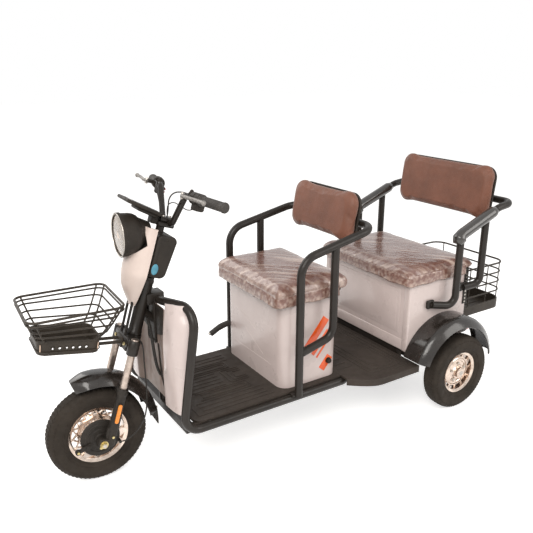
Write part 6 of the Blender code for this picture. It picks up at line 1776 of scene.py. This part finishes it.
def build_rear_axle():
    x = behind(WHEELBASE)
    tube = turned([(0.0, -0.292), (0.031, -0.292), (0.031, -0.282), (0.025, -0.278),
                   (0.025, -0.075), (0.038, -0.048), (0.038, 0.048), (0.025, 0.075),
                   (0.025, 0.278), (0.031, 0.282), (0.031, 0.292), (0.0, 0.292)],
                  (x, 0.0, REAR_WHEEL_R), LEFTWARD, FRAME_BLACK, 40)
    case = block(aft(1.652, -0.045, 0.112), aft(1.457, 0.045, 0.238), CASTING_BLACK,
                 0.022, 5)
    parts = [tube, case]
    for i in range(8):
        angle = i * pi / 4.0
        parts.append(hexagon((x + 0.052 * cos(angle), 0.0445, REAR_WHEEL_R + 0.052 * sin(angle)),
                             (x + 0.052 * cos(angle), 0.0505, REAR_WHEEL_R + 0.052 * sin(angle)), 0.005,
                             STEEL))
    piece("rear_axle_tube", "chassis", parts, ["rear_axle"])
    motor_x = behind(WHEELBASE + 0.025 + 0.058 + 0.004)
    case = turned([(0.0, 0.0453), (0.056, 0.0453), (0.058, 0.048), (0.058, 0.056),
                   (0.0555, 0.058), (0.0555, 0.15), (0.058, 0.152), (0.058, 0.16),
                   (0.054, 0.1653), (0.02, 0.1653), (0.0, 0.1653)], (motor_x, 0.0, 0.175),
                  LEFTWARD, CASTING_BLACK, 56)
    fin = block((motor_x - 0.0015, 0.062, 0.175 + 0.0545), (motor_x + 0.0015, 0.147, 0.175 + 0.058),
                CASTING_BLACK)
    fins = around(fin, 28, (motor_x, 0.0, 0.175), LEFTWARD)
    piece("hub_motor_case", "chassis", [case, fins], ["rear_motor"])


def make_tail_lamps():
    z = BENCH_FOOT_Z - 0.0003 - 0.015
    start = 1.7403
    for side, sign in SIDES:
        y = 0.178 * sign
        section = [(0.0, 0.0), (0.036, 0.0), (0.036, 0.018), (0.0345, 0.02), (0.0, 0.02)]
        base = turned(section, aft(start, y, z), (-1.0, 0.0, 0.0), DULL_BLACK, 40)
        glass = turned([(0.0, 0.02), (0.0335, 0.02), (0.032, 0.04), (0.029, 0.052),
                        (0.022, 0.0556), (0.0, 0.056)], aft(start, y, z), (-1.0, 0.0, 0.0),
                       RED_LENS, 40)
        piece("tail_lamp_base_" + side, "chassis", [base], ["tail_lamp_" + side])
        piece("tail_lamp_glass_" + side, "chassis", [glass])


def bend_parking_lever():
    y = PARKING_LEVER_Y
    line = bent([aft(0.85, y, DRIVER_BOX_FOOT_Z), aft(0.85, y, 0.345), aft(0.71, y, 0.372),
                 aft(0.612, y, 0.346)], (0.03, 0.06), 10)
    parts = [pipe(line, 0.008, FRAME_BLACK, 20),
             pipe(bent([aft(0.7, y, 0.373), aft(0.655, y, 0.366),
                        aft(0.604, y, 0.34)], (0.07,), 8), 0.0125, GRIP_RUBBER, 24),
             rod(aft(0.606, y, 0.3446), aft(0.596, y, 0.342), 0.0065, STEEL, 20,
                 edge=0.001),
             block(aft(0.868, y - 0.012, DRIVER_BOX_FOOT_Z), aft(0.832, y + 0.012, 0.275),
                   FRAME_BLACK, 0.003)]
    piece("parking_brake_lever", "chassis", parts, ["parking_lever"])


# What is left of the frame keeps its shape and gets its finish
def paint_frame_nodes():
    looks = {"underframe": FRAME_BLACK, "floor_front": FLOOR_BLACK, "floor_rear": FLOOR_BLACK,
             "battery_block": DULL_BLACK}
    for name, look in looks.items():
        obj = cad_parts[name]
        for slot in obj.material_slots:
            slot.material = look


# Cables
def run_cable(name, body, points, diameter, exit_at):
    line = [Vector(p) for p in points]
    tube = pipe(line, diameter / 2.0, CABLE_BLACK, 12)
    made = piece(name, body, [tube])
    tuple(exit_at)
    return made


def hang_cables():
    left_clamp = fork(-0.002, 0.034, 0.836)
    brake = [fork(*spot) for spot in (
        (0.008, 0.048, 0.39), (0.0, 0.08, 0.388), (-0.006, 0.1, 0.37),
        (-0.018, 0.105, 0.329), (-0.033, 0.105, 0.285), (-0.056, 0.106, 0.215),
        (-0.07, 0.106, 0.16), (-0.074, 0.105, 0.105), (-0.056, 0.102, 0.05),
        (-0.03, 0.098, 0.018), (-0.009, 0.092, 0.006))]
    run_cable("front_brake_cable", "steering", smooth_line(brake, 3), 0.0052, brake[0])
    rise = [left_clamp, fork(-0.001, 0.035, 0.852), fork(0.002, 0.037, 0.866), fork(0.006, 0.04, 0.88),
            fork(0.012, 0.048, 0.901), fork(0.015, 0.07, 0.922), fork(0.011, 0.098, 0.936),
            fork(0.002, 0.13, 0.942), on_bar(0.166, 0.018, 0.008)]
    run_cable("left_brake_cable", "steering", smooth_line(rise, 3), 0.005, rise[0])
    wire = [left_clamp + Vector((0.0, 0.006, 0.0)), fork(0.008, 0.046, 0.86),
            fork(0.013, 0.056, 0.884), fork(0.008, 0.084, 0.898), fork(-0.004, 0.115, 0.895),
            fork(-0.016, 0.145, 0.889), fork(-0.02, 0.172, 0.893),
            on_bar(0.186, 0.0, -0.033)]
    run_cable("left_switch_lead", "steering", smooth_line(wire, 3), 0.0036, wire[0])
    other = [fork(-0.002, -0.034, 0.836), fork(0.004, -0.038, 0.864),
             fork(0.012, -0.052, 0.892), fork(0.016, -0.078, 0.917),
             fork(0.011, -0.105, 0.933), fork(0.002, -0.132, 0.94),
             on_bar(-0.166, 0.018, 0.008)]
    run_cable("right_brake_cable", "steering", smooth_line(other, 4), 0.005, other[0])
    for name, y in (("rear_brake_hose", 0.03), ("loom_hose", 0.016)):
        hose = [Vector(aft(back, y + out, z)) for back, out, z in (
            (0.214, 0.0, 0.6), (0.219, 0.006, 0.565), (0.223, 0.012, 0.52),
            (0.226, 0.016, 0.47), (0.23, 0.018, 0.43), (0.237, 0.018, 0.392),
            (0.2475, 0.018, 0.362))]
        run_cable(name, "chassis", smooth_line(hose, 4), 0.007, hose[0])


def main():
    bpy.context.preferences.edit.use_global_undo = False
    set_up_camera()
    hang_cables()
    light_the_room()
    lay_the_floor()
    bend_side_tubes()
    weld_head_frame()
    bend_driver_rail()
    bend_bench_rail()
    pad_arms()
    press_floor_ribs()
    hang_floor_stubs()
    mould_leg_shield()
    mould_driver_box()
    mould_bench_box()
    make_seats()
    make_backrest("driver", 1.004, 0.9, 0.2, 0.2, 10.0, 1.078, 0.866)
    make_backrest("bench", 1.724, 0.93, 0.27, 0.234, 7.0, 1.835, 0.886)
    make_wheels()
    build_fork_legs()
    build_front_axle()
    build_crown()
    make_handlebar()
    make_grips()
    make_hand_controls()
    make_panel()
    mould_shroud()
    make_headlamp()
    make_front_fender()
    weld_front_basket()
    weld_rear_basket()
    form_rear_fenders()
    hang_springs()
    build_rear_axle()
    make_tail_lamps()
    bend_parking_lever()
    paint_frame_nodes()


main()
